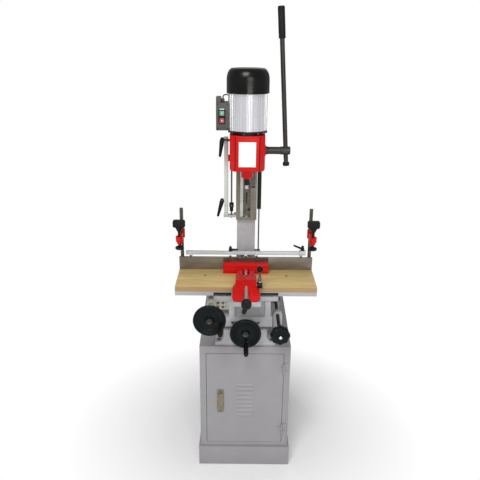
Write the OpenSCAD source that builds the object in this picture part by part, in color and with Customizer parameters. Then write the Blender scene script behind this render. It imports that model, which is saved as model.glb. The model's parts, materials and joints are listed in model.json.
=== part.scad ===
// Floor-standing tilting-head mortiser: cabinet stand, compound table, vise, column and motor head.
// Millimetres. +X right, +Y to the back, +Z up, origin on the floor at the middle of the anchor bolts.

/* [Cabinet stand] */
// Width of the cabinet
cabinet_w = 375; // [350:1:420]
// Depth of the cabinet
cabinet_d = 500; // [490:1:540]
// Height of the cabinet top above the floor
cabinet_h = 583; // [560:1:640]
// Thickness of the cabinet sheet
sheet = 2; // [1.5:0.5:3]
// Height of the plinth
plinth_h = 92; // [70:1:110]
// How far the plinth stands out all round
plinth_step = 8; // [4:1:14]
// Thickness of the plinth sheet
plinth_sheet = 3; // [2:0.5:4]
// Width of the plinth's inward foot flange
flange_w = 45; // [35:1:60]
// Distance from the plinth's side to the anchor bolts
anchor_inset_x = 30.5; // [27.5:0.5:45.5]
// Distance from the plinth's front to the anchor bolts
anchor_inset_y = 33; // [30:0.5:58]
// Diameter of the anchor holes
anchor_hole = 12; // [8:1:14]

/* [Door] */
// Distance from the door's side to the cabinet's side
door_side = 27.5; // [22.5:0.5:47.5]
// Height of the door
door_h = 435; // [380:1:445]
// Height of the door's lower edge above the plinth
door_rise = 22; // [14:1:30]
// Gap between the door and its opening
door_gap = 1.5; // [1:0.25:3]
// Depth of the door's folded edge
door_fold = 18; // [12:1:24]
// Number of louvres
louvres = 8; // [4:1:9]
// Length of a louvre
louvre_w = 70; // [40:1:90]
// Distance from louvre to louvre
louvre_pitch = 21; // [16:0.5:24]
// Height of a louvre's hood
louvre_h = 8; // [5:0.5:10]
// Radius of a hinge barrel
hinge_r = 4; // [3:0.25:5]
// Radius of a hinge pin
hinge_pin_r = 2; // [1.5:0.25:2.5]
// Length of a hinge
hinge_len = 50; // [40:1:60]
// Height of the latch plate
latch_h = 111; // [100:1:120]
// Width of the latch plate
latch_w = 29; // [24:1:36]
// Radius of the latch spindle
latch_spindle_r = 5; // [4:0.5:6]

/* [Base casting] */
// Height of the base casting
base_h = 72; // [56:1:80]
// Width of the base's foot
base_foot_w = 245; // [235:1:260]
// Thickness of the base's foot
base_foot_h = 15; // [10:1:20]
// Width of the base's top
base_top_w = 174; // [160:1:190]
// Width of the cross way at its top
cross_way_w = 120; // [110:1:130]
// Height of the dark gap under the saddle
saddle_gap = 16; // [14:1:22]
// Half width of the channel for the cross screw
screw_channel = 13; // [11:0.5:16]

/* [Saddle] */
// Width of the saddle's lower plate
saddle_w = 216; // [200:1:218]
// Thickness of the saddle's lower plate
saddle_plate_h = 42; // [32:1:44]
// Height of the saddle's box
saddle_box_h = 69; // [64:1:90]
// Width of the top bar and the long way
long_way_len = 260; // [240:1:280]
// Thickness of the top bar
top_bar_h = 20; // [14:1:24]
// Depth of the long way's dovetail at its top
long_way_d = 110; // [100:1:116]

/* [Table] */
// Length of the table and the fence
table_len = 559; // [520:1:620]
// Thickness of the iron table plate
table_plate_h = 17; // [12:1:20]
// Depth of the wooden board
board_d = 185; // [170:1:200]
// Thickness of the wooden board
board_h = 20; // [14:1:26]
// Height of the fence above the board
fence_h = 56; // [40:1:70]
// Thickness of the fence
fence_t = 7; // [5:0.5:9]
// Distance from the spindle back to the fence
fence_offset = 47; // [40:1:50]
// Thickness of the aluminium rail
rail_s = 14; // [10:1:15]
// Distance from the fence's end to the rail's end
rail_inset = 26.5; // [26.5:0.5:59.5]

/* [Hold downs] */
// Radius of a hold-down post
post_r = 7.5; // [5:0.5:8]
// Height of a post above the board
post_h = 262; // [240:1:264]
// Height of the arms above the board
arm_rise = 131; // [110:1:140]
// Height of an arm
arm_h = 42; // [36:1:55]
// Radius of the hold-down screw
hold_screw_r = 6; // [5:0.5:7]
// Radius of the rubber pad
pad_r = 17.5; // [12:0.5:20]

/* [Vise] */
// Width of the vise jaw
jaw_w = 188; // [150:1:220]
// Height of the vise jaw above the board
jaw_h = 40; // [34:1:44]
// Width of the vise neck
neck_w = 70; // [60:1:76]
// Radius of the vise screw
vise_screw_r = 8; // [6:0.5:9]
// How far the vise housing reaches back over the board
house_len = 71; // [69:0.5:73]
// Height of the vise screw above the board
vise_screw_rise = 15; // [14:0.5:17]

/* [Column] */
// Distance from the spindle back to the column's front face
spindle_reach = 92; // [88:1:110]
// Width of the column way
column_w = 86; // [74:1:88]
// Depth of the column way's dovetail
column_way_d = 18; // [16:1:20]
// Depth of the column
column_d = 78; // [70:1:84]
// Height of the column's top above the pivot
column_rise = 575; // [565:1:620]
// Height of the machined way's lower end above the pivot
way_rise = 201; // [190:1:215]
// Height of the tilt pivot above the board
pivot_rise = 5; // [0:1:10]
// Radius of the column's rounded lower end
pivot_boss_r = 42; // [36:1:46]
// Radius of the pivot bolt
pivot_bolt_r = 15; // [10:0.5:18]

/* [Head] */
// Width of the head casting
head_w = 134; // [126:1:150]
// Height of the head casting
head_h = 134; // [128:1:150]
// Height of the head's underside above the pivot at rest
head_rise = 439; // [436:1:450]
// Distance from the spindle to the head's front
head_front_d = 65; // [55:1:72]
// Radius of the nose under the head
nose_r = 23; // [18:0.5:26]
// Height of the nose
nose_h = 41; // [30:1:50]
// Side of the square chisel
chisel_s = 12.7; // [10:0.1:16]
// Height of the chisel tip above the pivot at rest
chisel_tip_rise = 245; // [235:1:262]

/* [Motor] */
// Radius of the motor body over its fins
motor_r = 74; // [66:0.5:76]
// Height of the finned motor body
motor_h = 141; // [130:1:160]
// Number of cooling fins
fins = 40; // [20:1:48]
// Depth of a cooling fin
fin_d = 4; // [2:0.5:6]
// Radius of the fan cover
fan_cover_r = 80; // [77:0.5:82]
// Height of the fan cover
fan_cover_h = 83; // [70:1:90]
// Wall of the fan cover
fan_cover_wall = 2.5; // [1.5:0.5:3.5]
// Radius of the motor shaft
motor_shaft_r = 7; // [6:0.5:9]
// Width of the switch box
switch_w = 48; // [44:1:54]
// Depth of the switch box
switch_d = 65; // [55:1:66]
// Height of the switch box
switch_h = 102; // [90:1:104]

/* [Controls] */
// Radius of the two handwheels
wheel_r = 62.5; // [50:0.5:65]
// Radius from a wheel's centre to its grip
crank_r = 46; // [38:0.5:48]
// Length of a wheel's grip
grip_len = 82; // [50:1:90]
// Radius of the tilt knob over its lobes
knob_r = 39; // [30:0.5:42]
// Radius of the feed lever's rod
lever_rod_r = 9; // [7:0.5:9]
// Distance from the lever's hub to its top end
lever_len = 529; // [480:1:560]
// Length of the lever's grip
lever_grip_len = 114; // [90:1:130]
// Lean of the lever toward the motor, in degrees
lever_lean = 3.7; // [2:0.1:5]
// Distance of the lever from the head's side
lever_out = 84; // [80:1:90]
// Tooth module of the racks and pinions
tooth_m = 2.5; // [2.4:0.05:2.6]
// Distance from the base's front to the cross wheel
cross_wheel_out = 48; // [42:1:70]
// Distance from the base's front to the feed wheel
feed_wheel_out = 140; // [120:1:160]
// Distance from the vise's front to the end of its screw
vise_screw_out = 120; // [100:1:140]
// Height of the scale bar's top above the head's underside
scale_top_rise = 108; // [90:1:125]
// Teeth on the feed lever's pinion
lever_teeth = 40; // [38:2:40]
// Teeth on the table feed pinion
feed_teeth = 16; // [14:1:17]
// Teeth on the tilt pinion
tilt_teeth = 14; // [12:1:15]
// Teeth on the full circle of the tilt sector
sector_teeth = 156; // [152:1:158]

/* [Hidden] */
$fn = 48;

// Clearances: a turning or sliding round fit, a flat sliding fit, and free air between parts
run_fit = 0.05;
slide_gap = 0.2;
air = 2;

// Colours
cast_grey = [0.66, 0.65, 0.66];
machine_red = [0.85, 0.1, 0.08];
satin_black = [0.09, 0.1, 0.1];
bare_iron = [0.45, 0.43, 0.41];
bright_steel = [0.75, 0.76, 0.78];
aluminium = [0.8, 0.81, 0.82];
pine = [0.8, 0.67, 0.42];

// Heights of the stack, from the floor up
base_top = cabinet_h + base_h;
saddle_bottom = base_top + saddle_gap;
saddle_plate_top = saddle_bottom + saddle_plate_h;
bar_bottom = saddle_plate_top + saddle_box_h;
bar_top = bar_bottom + top_bar_h;
long_way_rise = 10;
long_way_top = bar_top + long_way_rise;
table_bottom = long_way_top + 1;
plate_top = table_bottom + table_plate_h;
board_top = plate_top + board_h;
pivot_z = board_top + pivot_rise;
cross_way_top = saddle_bottom + 22;
screw_r = 8;
cross_z = base_top + screw_r + air;

// Places from front to back
spindle_y = -118;
fence_front = spindle_y + fence_offset;
board_front = fence_front - board_d;
fence_back = fence_front + fence_t;
rail_front = fence_back + 6;
rail_y = rail_front + rail_s / 2;
plate_back = rail_y + 13;
column_front = spindle_y + spindle_reach;
column_back = column_front + column_d;
way_back = column_front + column_way_d;
sector_t = 14;
sector_front = way_back - sector_t;
trunnion_front = column_back + 11;
trunnion_t = 30;
arm_back = trunnion_front - 1;
base_front = -243;
way_front = base_front + 25;
way_end = sector_front - 8;
saddle_back = way_end - 20;

// Racks and pinions
addendum = 0.8 * tooth_m;
dedendum = 1.1 * tooth_m;
tooth_air = 0.2;
pressure = 20;
lever_pinion_r = tooth_m * lever_teeth / 2;
feed_pinion_r = tooth_m * feed_teeth / 2;
tilt_pinion_r = tooth_m * tilt_teeth / 2;
sector_r = tooth_m * sector_teeth / 2;

// Head and lever places
head_bottom = pivot_z + head_rise;
head_top = head_bottom + head_h;
head_front = spindle_y - head_front_d;
rack_pitch_y = column_front + 1;
lever_y = rack_pitch_y - lever_pinion_r;
lever_z = head_bottom + 63;
pinion_x0 = 20;
pinion_x1 = 33;
shaft_r = 10;
flange_bottom = head_top;
motor_bottom = head_top + 16;
motor_top = motor_bottom + motor_h;
cavity_r = 21.5;

// Tilt drive: the pinion sits at this angle from straight down
tilt_angle = 39;
tilt_x = (sector_r + tilt_pinion_r) * sin(tilt_angle);
tilt_z = pivot_z - (sector_r + tilt_pinion_r) * cos(tilt_angle);
tilt_shaft_r = 7.5;
knob_front = -368;
knob_depth = 50;

// Left depth gauge and right gas spring
stop_rod_r = 3.5;
stop_x = -head_w / 2 + stop_rod_r + air;
stop_y = way_back - 14;
scale_x0 = -head_w / 2 - 25;
scale_x1 = -head_w / 2 - 8;
scale_t = 4;
scale_y = stop_y - 2;
bracket_z = pivot_z + 213;
bracket_h = 9;
stop_lug_z0 = bracket_z + bracket_h;
stop_lug_z1 = bracket_z + 80;
stop_lock_z = stop_lug_z1 - 14;
stop_lock_y = scale_y + 8;
lock_y = spindle_y + 47;
lock_z = lever_z + 38;
lock_stud_r = 5;
spring_r = 8.5;
spring_x = column_w / 2 + spring_r + 1.5;
spring_y = way_back - 10;
spring_rod_r = 3;
spring_bottom = pivot_z + 248;
spring_top = head_bottom + 96;
spring_stroke = 137;

// Wheels
feed_x = -137;
feed_z = bar_bottom - 13;
feed_wheel_y = base_front - feed_wheel_out;
cross_wheel_y = base_front - cross_wheel_out;
wheel_t = 18;

// Table furniture
rail_len = table_len - 2 * rail_inset;
post_x = table_len / 2 - 11.5;
boss_x = table_len / 2 - 8;
arm_bottom = board_top + arm_rise;
post_top = board_top + post_h;
rail_bottom = board_top + fence_h + 5;
rail_top = rail_bottom + rail_s;
vise_z = board_top + vise_screw_rise;
jaw_front = spindle_y;
cam_y = board_front - 17;

// Plain shapes
module block(x0, x1, y0, y1, z0, z1) {
    translate([x0, y0, z0])
        cube([x1 - x0, y1 - y0, z1 - z0]);
}

module along_x(y, z, r, x0, x1) {
    translate([x0, y, z])
        rotate([0, 90, 0])
            cylinder(r = r, h = x1 - x0);
}

module along_y(x, z, r, y0, y1) {
    translate([x, y1, z])
        rotate([90, 0, 0])
            cylinder(r = r, h = y1 - y0);
}

module along_z(x, y, r, z0, z1) {
    translate([x, y, z0])
        cylinder(r = r, h = z1 - z0);
}

// A shape drawn in X and Z, pulled along Y
module pull_y(y0, y1) {
    translate([0, y1, 0])
        rotate([90, 0, 0])
            linear_extrude(y1 - y0)
                children();
}

// A shape drawn in Y and Z, pulled along X
module pull_x(x0, x1) {
    translate([x0, 0, 0])
        rotate([90, 0, 90])
            linear_extrude(x1 - x0)
                children();
}

module mirror_x(right) {
    mirror([right ? 0 : 1, 0, 0])
        children();
}

// Gear teeth with involute flanks
function roll(r, base_r) = let (t = sqrt(max(0, pow(r / base_r, 2) - 1))) t * 180 / PI - atan(t);
function half_tooth(r, teeth) = let (
        pitch_r = tooth_m * teeth / 2,
        base_r = pitch_r * cos(pressure)
    ) 90 / teeth - tooth_air / 4 / pitch_r * 180 / PI + roll(pitch_r, base_r) - roll(max(r, base_r), base_r);
function tooth_radii(teeth) = let (
        pitch_r = tooth_m * teeth / 2,
        low = max(pitch_r * cos(pressure), pitch_r - dedendum),
        high = pitch_r + addendum
    ) concat([pitch_r - dedendum], [for (i = [0:4]) low + (high - low) * i / 4]);
function tooth_points(teeth, centre) = let (radii = tooth_radii(teeth), n = len(radii)) concat(
    [for (i = [0:n - 1]) polar(radii[i], centre - half_tooth(radii[i], teeth))],
    [for (i = [0:n - 1]) polar(radii[n - 1 - i], centre + half_tooth(radii[n - 1 - i], teeth))]);
function polar(r, a) = [r * cos(a), r * sin(a)];
function gear_points(teeth, first) =
    [for (i = [0:teeth - 1]) each tooth_points(teeth, first + i * 360 / teeth)];

// A rack's outline along the first axis, with teeth toward the second, the middle tooth at 0
function rack_points(count, depth) = let (
        p = PI * tooth_m,
        half = p / 4 - tooth_air / 4,
        tip = half - addendum * tan(pressure),
        root = half + dedendum * tan(pressure),
        side = floor(count / 2)
    ) concat(
        [[-(side + 0.5) * p, -depth]],
        [[-(side + 0.5) * p, -dedendum]],
        [for (i = [-side:side]) each [[i * p - root, -dedendum], [i * p - tip, addendum],
            [i * p + tip, addendum], [i * p + root, -dedendum]]],
        [[(side + 0.5) * p, -dedendum]],
        [[(side + 0.5) * p, -depth]]);

// Cabinet stand
module plinth() {
    w = cabinet_w + 2 * plinth_step;
    d = cabinet_d + 2 * plinth_step;
    bolt_x = w / 2 - anchor_inset_x;
    bolt_y = d / 2 - anchor_inset_y;
    color(cast_grey)
        difference() {
            block(-w / 2, w / 2, -d / 2, d / 2, 0, plinth_h);
            block(-w / 2 + plinth_sheet, w / 2 - plinth_sheet, -d / 2 + plinth_sheet,
                d / 2 - plinth_sheet, plinth_sheet, plinth_h - plinth_sheet);
            block(-w / 2 + flange_w, w / 2 - flange_w, -d / 2 + flange_w, d / 2 - flange_w,
                -1, plinth_h - plinth_sheet);
            for (x = [-1, 1], y = [-1, 1])
                along_z(x * bolt_x, y * bolt_y, anchor_hole / 2, -1, plinth_sheet + 1);
        }
}

door_w = cabinet_w - 2 * door_side;
door_bottom = plinth_h + door_rise;
door_top = door_bottom + door_h;
cabinet_front = -cabinet_d / 2;

module cabinet_shell() {
    color(cast_grey)
        difference() {
            block(-cabinet_w / 2, cabinet_w / 2, cabinet_front, cabinet_d / 2, plinth_h, cabinet_h);
            block(-cabinet_w / 2 + sheet, cabinet_w / 2 - sheet, cabinet_front + sheet,
                cabinet_d / 2 - sheet, plinth_h - 1, cabinet_h - sheet);
            block(-door_w / 2 - door_gap, door_w / 2 + door_gap, cabinet_front - 1,
                cabinet_front + sheet + 1, door_bottom - door_gap, door_top + door_gap);
        }
}

// The two door hinges stand on the front of the right jamb, with a barrel axis in front of the sheet
hinge_x = door_w / 2 + door_gap / 2;
hinge_y = cabinet_front - hinge_r - 0.5;
hinge_leaf = 20;
hinge_mid = 18;

function hinge_heights() = [door_bottom + 70, door_top - 70];

module door_hinges() {
    color(cast_grey)
        for (z = hinge_heights()) {
            for (end = [[-hinge_len / 2, -hinge_mid / 2 - 0.3], [hinge_mid / 2 + 0.3, hinge_len / 2]]) {
                along_z(hinge_x, hinge_y, hinge_r, z + end[0], z + end[1]);
                block(hinge_x, hinge_x + hinge_leaf, cabinet_front - sheet, cabinet_front, z + end[0], z + end[1]);
            }
            along_z(hinge_x, hinge_y, hinge_pin_r, z - hinge_len / 2, z + hinge_len / 2);
        }
}

latch_x = -door_w / 2 + 58;
latch_z = door_bottom + 208.5;

module cabinet_door() {
    color(cast_grey)
        difference() {
            union() {
                difference() {
                    block(-door_w / 2, door_w / 2, cabinet_front, cabinet_front + door_fold, door_bottom, door_top);
                    block(-door_w / 2 + sheet, door_w / 2 - sheet, cabinet_front + sheet,
                        cabinet_front + door_fold + 1, door_bottom + sheet, door_top - sheet);
                }
                for (i = [0:louvres - 1])
                    louvre_hood(door_bottom + 138 + i * louvre_pitch);
                for (z = hinge_heights()) {
                    along_z(hinge_x, hinge_y, hinge_r, z - hinge_mid / 2, z + hinge_mid / 2);
                    block(hinge_x - hinge_leaf, hinge_x, cabinet_front - sheet, cabinet_front - 0.4,
                        z - hinge_mid / 2, z + hinge_mid / 2);
                    block(hinge_x - hinge_leaf, door_w / 2 - 1, cabinet_front - sheet, cabinet_front,
                        z - hinge_mid / 2, z + hinge_mid / 2);
                }
                block(latch_x - latch_w / 2, latch_x + latch_w / 2, cabinet_front - 1.5, cabinet_front,
                    latch_z - latch_h / 2, latch_z + latch_h / 2);
            }
            for (i = [0:louvres - 1])
                louvre_slot(door_bottom + 138 + i * louvre_pitch);
            for (z = hinge_heights())
                along_z(hinge_x, hinge_y, hinge_pin_r + run_fit, z - hinge_mid, z + hinge_mid);
            along_y(latch_x, latch_z, latch_spindle_r + run_fit, cabinet_front - 5, cabinet_front + 5);
        }
}

// A louvre is a wedge-shaped hood with a slot under it
module louvre_hood(z) {
    pull_x(-louvre_w / 2, louvre_w / 2)
        polygon([[cabinet_front + 0.5, z], [cabinet_front - 5, z], [cabinet_front + 0.5, z + louvre_h]]);
}

module louvre_slot(z) {
    pull_x(-louvre_w / 2 + 1.5, louvre_w / 2 - 1.5)
        polygon([[cabinet_front + sheet + 1, z - 1], [cabinet_front - 3.5, z - 1], [cabinet_front - 3.5, z + 0.8],
            [cabinet_front + 0.5, z + louvre_h - 2.2], [cabinet_front + sheet + 1, z + louvre_h - 2.2]]);
}

module latch_handle() {
    y = cabinet_front - 1.5 - slide_gap;
    color(bright_steel) {
        block(latch_x - 10, latch_x + 10, y - 9, y, latch_z - 40, latch_z + 40);
        along_y(latch_x, latch_z, latch_spindle_r, y, cabinet_front + 12);
        block(latch_x - 50, latch_x + 8, cabinet_front + 12, cabinet_front + 15, latch_z - 8, latch_z + 8);
    }
}

// Base casting: foot, body, cross way with its screw nut, two lugs for the tilt shaft and the rear trunnion
lug_half = 19;
front_lug_y = -180;
lug_t = 24;

module base_casting() {
    body = [[-base_foot_w / 2, cabinet_h], [base_foot_w / 2, cabinet_h],
        [base_foot_w / 2, cabinet_h + base_foot_h], [base_top_w / 2 + 12, cabinet_h + base_foot_h + 6],
        [base_top_w / 2, cabinet_h + base_foot_h + 22], [base_top_w / 2, base_top],
        [-base_top_w / 2, base_top], [-base_top_w / 2, cabinet_h + base_foot_h + 22],
        [-base_top_w / 2 - 12, cabinet_h + base_foot_h + 6], [-base_foot_w / 2, cabinet_h + base_foot_h]];
    color(cast_grey)
        difference() {
            union() {
                pull_y(base_front, trunnion_front + trunnion_t + 20)
                    polygon(body);
                difference() {
                    pull_y(way_front, way_end)
                        polygon(cross_way(0));
                    block(-screw_channel, screw_channel, way_front - 1, way_end + 1, base_top, cross_way_top + 1);
                }
                block(-screw_channel, screw_channel, nut_y, nut_y + nut_len, base_top, cross_z + screw_r + 6);
                tilt_lug(front_lug_y);
                tilt_lug(way_back + 8);
                block(-pivot_boss_r, pivot_boss_r, trunnion_front, trunnion_front + trunnion_t, cabinet_h, pivot_z);
                along_y(0, pivot_z, pivot_boss_r, trunnion_front, trunnion_front + trunnion_t);
                pull_x(-8, 8)
                    polygon([[trunnion_front + trunnion_t - 1, base_top - 1],
                        [trunnion_front + trunnion_t + 20, base_top - 1],
                        [trunnion_front + trunnion_t - 1, pivot_z - 50]]);
            }
            along_y(0, cross_z, screw_r + run_fit, nut_y - 1, nut_y + nut_len + 1);
            along_y(0, pivot_z, pivot_bolt_r, trunnion_front - 1, trunnion_front + trunnion_t + 1);
            for (y = [front_lug_y, way_back + 8])
                along_y(tilt_x, tilt_z, tilt_shaft_r + run_fit, y - 1, y + lug_t + 1);
        }
}

nut_y = way_front + 46;
nut_len = 30;

// The cross screw reaches behind its nut by the saddle's travel and a little more
saddle_travel = 60;
screw_tail = saddle_travel + 7;

// The cross way's dovetail, drawn in X and Z and grown by a gap
function cross_way(gap) = [[-cross_way_w / 2 + 10 - gap, base_top - 1],
    [-cross_way_w / 2 + 10 - gap, saddle_bottom + 4], [-cross_way_w / 2 - gap, cross_way_top + gap],
    [cross_way_w / 2 + gap, cross_way_top + gap], [cross_way_w / 2 - 10 + gap, saddle_bottom + 4],
    [cross_way_w / 2 - 10 + gap, base_top - 1]];

module tilt_lug(y) {
    block(base_top_w / 2 - 5, tilt_x + lug_half, y, y + lug_t, cabinet_h, cabinet_h + base_foot_h);
    block(tilt_x - lug_half, tilt_x + lug_half, y, y + lug_t, cabinet_h, tilt_z);
    along_y(tilt_x, tilt_z, lug_half, y, y + lug_t);
}

module pivot_bolt() {
    color(bright_steel) {
        along_y(0, pivot_z, pivot_bolt_r, sector_front - 0.3, trunnion_front + trunnion_t + 22);
        translate([0, sector_front - 0.3, pivot_z])
            rotate([90, 0, 0])
                cylinder(r = pivot_bolt_r * 1.5, h = 11, $fn = 6);
        translate([0, trunnion_front + trunnion_t + 18, pivot_z])
            rotate([90, 0, 0])
                cylinder(r = pivot_bolt_r * 1.6, h = 18, $fn = 6);
    }
}

// Tilt drive
module tilt_knob() {
    lobes = 8;
    lobe_r = 10;
    core_r = knob_r - 6;
    color(satin_black)
        difference() {
            union() {
                along_y(tilt_x, tilt_z, core_r, knob_front + 8, knob_front + 36);
                along_y(tilt_x, tilt_z, 16, knob_front, knob_front + knob_depth);
                for (i = [0:lobes - 1])
                    along_y(tilt_x + (knob_r - lobe_r) * cos(i * 360 / lobes),
                        tilt_z + (knob_r - lobe_r) * sin(i * 360 / lobes), lobe_r,
                        knob_front + 6, knob_front + 38);
            }
            along_y(tilt_x, tilt_z, tilt_shaft_r, knob_front + 10, knob_front + knob_depth + 1);
        }
}

module tilt_pinion_shaft() {
    color(bright_steel) {
        along_y(tilt_x, tilt_z, tilt_shaft_r, knob_front + 10, sector_front - 2);
        along_y(tilt_x, tilt_z, tilt_shaft_r, sector_front - 2, way_back + 8 + lug_t + 4);
        translate([tilt_x, 0, tilt_z])
            pull_y(sector_front - 2, way_back + 2)
                polygon(gear_points(tilt_teeth, tilt_angle + 90 + 180 / tilt_teeth));
    }
}

// Column: rounded painted foot, machined dovetail way with a middle recess
module column() {
    half = column_w / 2;
    color(cast_grey)
        difference() {
            union() {
                along_y(0, pivot_z, pivot_boss_r, way_back, arm_back);
                block(-half + 4.5, half - 4.5, way_back, arm_back, pivot_z, pivot_z + way_rise);
                translate([0, 0, pivot_z + way_rise])
                    linear_extrude(column_rise - way_rise)
                        polygon([[-half, column_front], [half, column_front], [half - 10.5, way_back],
                            [half - 4.5, way_back], [half - 4.5, column_back], [-half + 4.5, column_back],
                            [-half + 4.5, way_back], [-half + 10.5, way_back]]);
            }
            along_y(0, pivot_z, pivot_bolt_r + run_fit, way_back - 1, arm_back + 1);
            translate([0, 0, pivot_z + way_rise + 12])
                linear_extrude(column_rise)
                    polygon([[-half + 17, column_front - 1], [-half + 17, column_front], [-half + 29, column_front + 6],
                        [pinion_x0 - 3, column_front + 6], [pinion_x0 - 3, column_front - 1]]);
            block(pinion_x0 - 1, pinion_x1 + 1, column_front - 1, column_front + rack_d + 1,
                rack_z - rack_half - 0.5, rack_z + rack_half + 0.5);
        }
}

rack_teeth = 29;
rack_half = rack_teeth * PI * tooth_m / 2;
rack_d = 8;
rack_z = lever_z - 50;

// The rack lies in the column's front with its teeth toward the head; a tooth faces the pinion's axis
module column_rack() {
    shift = lever_z - rack_z - round((lever_z - rack_z) / (PI * tooth_m)) * PI * tooth_m;
    color(bare_iron)
        translate([0, rack_pitch_y, rack_z + shift])
            pull_x(pinion_x0, pinion_x1)
                polygon([for (p = rack_points(rack_teeth - 2, rack_d)) [-p[1], p[0]]]);
}

// The sector is a toothed fan bolted to the front of the column's foot
module tilt_sector() {
    pitch = 360 / sector_teeth;
    low = ceil((tilt_angle - 38) / pitch);
    high = floor((tilt_angle + 38) / pitch);
    start = tilt_angle - round(tilt_angle / pitch) * pitch;
    root_r = sector_r - dedendum;
    color(bare_iron)
        translate([0, 0, pivot_z])
            pull_y(sector_front, way_back)
                difference() {
                    union() {
                        polygon(concat([[0, 0]],
                            [for (i = [low:high]) each tooth_points(sector_teeth, start + i * pitch - 90)]));
                        circle(r = pivot_boss_r - 4);
                    }
                    circle(r = pivot_bolt_r + run_fit);
                    for (a = [-25, 0, 25])
                        translate(polar(root_r - 55, tilt_angle + a - 90))
                            circle(r = 22);
                }
}

// Depth gauge on the column's left: bracket with a lug behind the scale bar, stop rod, collar
module depth_bracket() {
    half = column_w / 2;
    color(cast_grey)
        difference() {
            union() {
                block(scale_x0 - 2, -half - 1.5, scale_y - 6, way_back + 1, bracket_z, bracket_z + bracket_h);
                block(-half - 9, -half + 4.5, way_back, way_back + 22, bracket_z, bracket_z + bracket_h);
                block(scale_x0 + 1, scale_x1 - 5, scale_y + scale_t / 2, scale_y + 16, bracket_z, stop_lug_z1);
            }
            along_z(stop_x, stop_y, stop_rod_r, bracket_z - 1, bracket_z + bracket_h + 1);
            along_x(stop_lock_y, stop_lock_z, lock_stud_r + run_fit, scale_x0, scale_x1 - 7);
        }
}

module scale_bar() {
    color(aluminium)
        block(scale_x0, scale_x1, scale_y - scale_t / 2, scale_y + scale_t / 2,
            bracket_z + bracket_h, head_bottom + scale_top_rise);
}

module stop_rod() {
    color(bright_steel)
        along_z(stop_x, stop_y, stop_rod_r, bracket_z - 4, head_bottom + 30);
}

module stop_collar() {
    z = bracket_z + bracket_h + 16;
    color(satin_black)
        difference() {
            union() {
                along_z(stop_x, stop_y, 7.5, z, z + 17);
                along_z(stop_x, stop_y, 9.5, z + 17, z + 36);
                along_y(stop_x, z + 26, 3, stop_y - 12, stop_y - stop_rod_r - 1);
            }
            along_z(stop_x, stop_y, stop_rod_r + run_fit, z - 1, z + 37);
        }
}

// A clamp lever: stud and hub to the left along X, handle down and a little out
module clamp_lever(x_seat, x_hub, y, z, out, drop) {
    color(satin_black) {
        along_x(y, z, lock_stud_r, x_hub, x_seat);
        along_x(y, z, 11, x_hub - 14, x_hub);
        hull() {
            translate([x_hub - 8, y, z - 4])
                sphere(r = 7.5, $fn = 24);
            translate([x_hub - 8 - out, y, z - drop])
                sphere(r = 5, $fn = 24);
        }
    }
}

module stop_lock_lever() {
    clamp_lever(scale_x0 + 8, scale_x0 - 2, stop_lock_y, stop_lock_z, 9, 58);
}

module head_lock_lever() {
    clamp_lever(-head_w / 2 + 20, -head_w / 2 - 24, lock_y, lock_z, 8, 62);
}

// Gas spring on the right: rod from a lug on the column, cylinder in the head's right cheek
module spring_rod() {
    z = pivot_z + 50;
    color(bright_steel) {
        along_z(spring_x, spring_y, spring_rod_r, z, spring_bottom + 12);
        block(column_w / 2 - 4.5, spring_x + spring_r, spring_y - 9, way_back + 14, z, z + 10);
    }
}

module spring_cylinder() {
    color(satin_black)
        difference() {
            along_z(spring_x, spring_y, spring_r, spring_bottom, spring_top);
            along_z(spring_x, spring_y, spring_rod_r + run_fit, spring_bottom - 1, spring_bottom + spring_stroke);
        }
}

// Head casting: box with chamfered front edges, cheeks round the dovetail, nose, gauge guide
module head_casting() {
    half = head_w / 2;
    cheek_back = way_back - 0.5;
    color(machine_red)
        difference() {
            union() {
                translate([0, 0, head_bottom])
                    linear_extrude(head_h)
                        polygon([[-half, cheek_back], [-half, head_front + 20], [-half + 20, head_front],
                            [half - 20, head_front], [half, head_front + 20], [half, cheek_back]]);
                along_z(0, spindle_y, nose_r, head_bottom - nose_h + 8, head_bottom + 1);
                translate([0, spindle_y, head_bottom - nose_h])
                    cylinder(r1 = nose_r - 8, r2 = nose_r, h = 8);
                block(scale_x0 + 2, -half + 1, scale_y + scale_t / 2 + slide_gap, scale_y + 9,
                    head_bottom + 8, head_bottom + 34);
                along_x(lever_y, lever_z, 22, half - 1, half + 6);
            }
            // lower corners are stepped in
            for (side = [-1, 1])
                block(min(side * half, side * (half - 3)), max(side * half, side * (half - 3)),
                    head_front - 1, spring_y - spring_r - 2, head_bottom - 1, head_bottom + 5);
            column_slot();
            block(pinion_x0 - 1, pinion_x1 + 1, rack_pitch_y - addendum - 0.5, column_front + 1,
                head_bottom - 1, head_top + 1);
            along_z(0, spindle_y, cavity_r, head_bottom + 8, head_top + 1);
            along_z(0, spindle_y, 9.5, head_bottom - nose_h - 1, head_bottom + 9);
            along_x(lever_y, lever_z, lever_pinion_r + addendum + air, pinion_x0 - 1, pinion_x1 + 1);
            along_x(lever_y, lever_z, shaft_r + run_fit, -half + 15, half + 7);
            along_z(stop_x, stop_y, stop_rod_r + run_fit, head_bottom - 1, head_top + 1);
            along_z(spring_x, spring_y, spring_r, head_bottom - 1, spring_top);
            along_x(lock_y, lock_z, lock_stud_r + run_fit, -half - 1, -half + 21);
        }
}

// Room for the column way inside the head, with a sliding gap
module column_slot() {
    half = column_w / 2 + slide_gap;
    translate([0, 0, head_bottom - 1])
        linear_extrude(head_h + 2)
            polygon([[-half, column_front - slide_gap], [half, column_front - slide_gap],
                [half - 10.5, way_back + 1], [-half + 10.5, way_back + 1]]);
}

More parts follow.
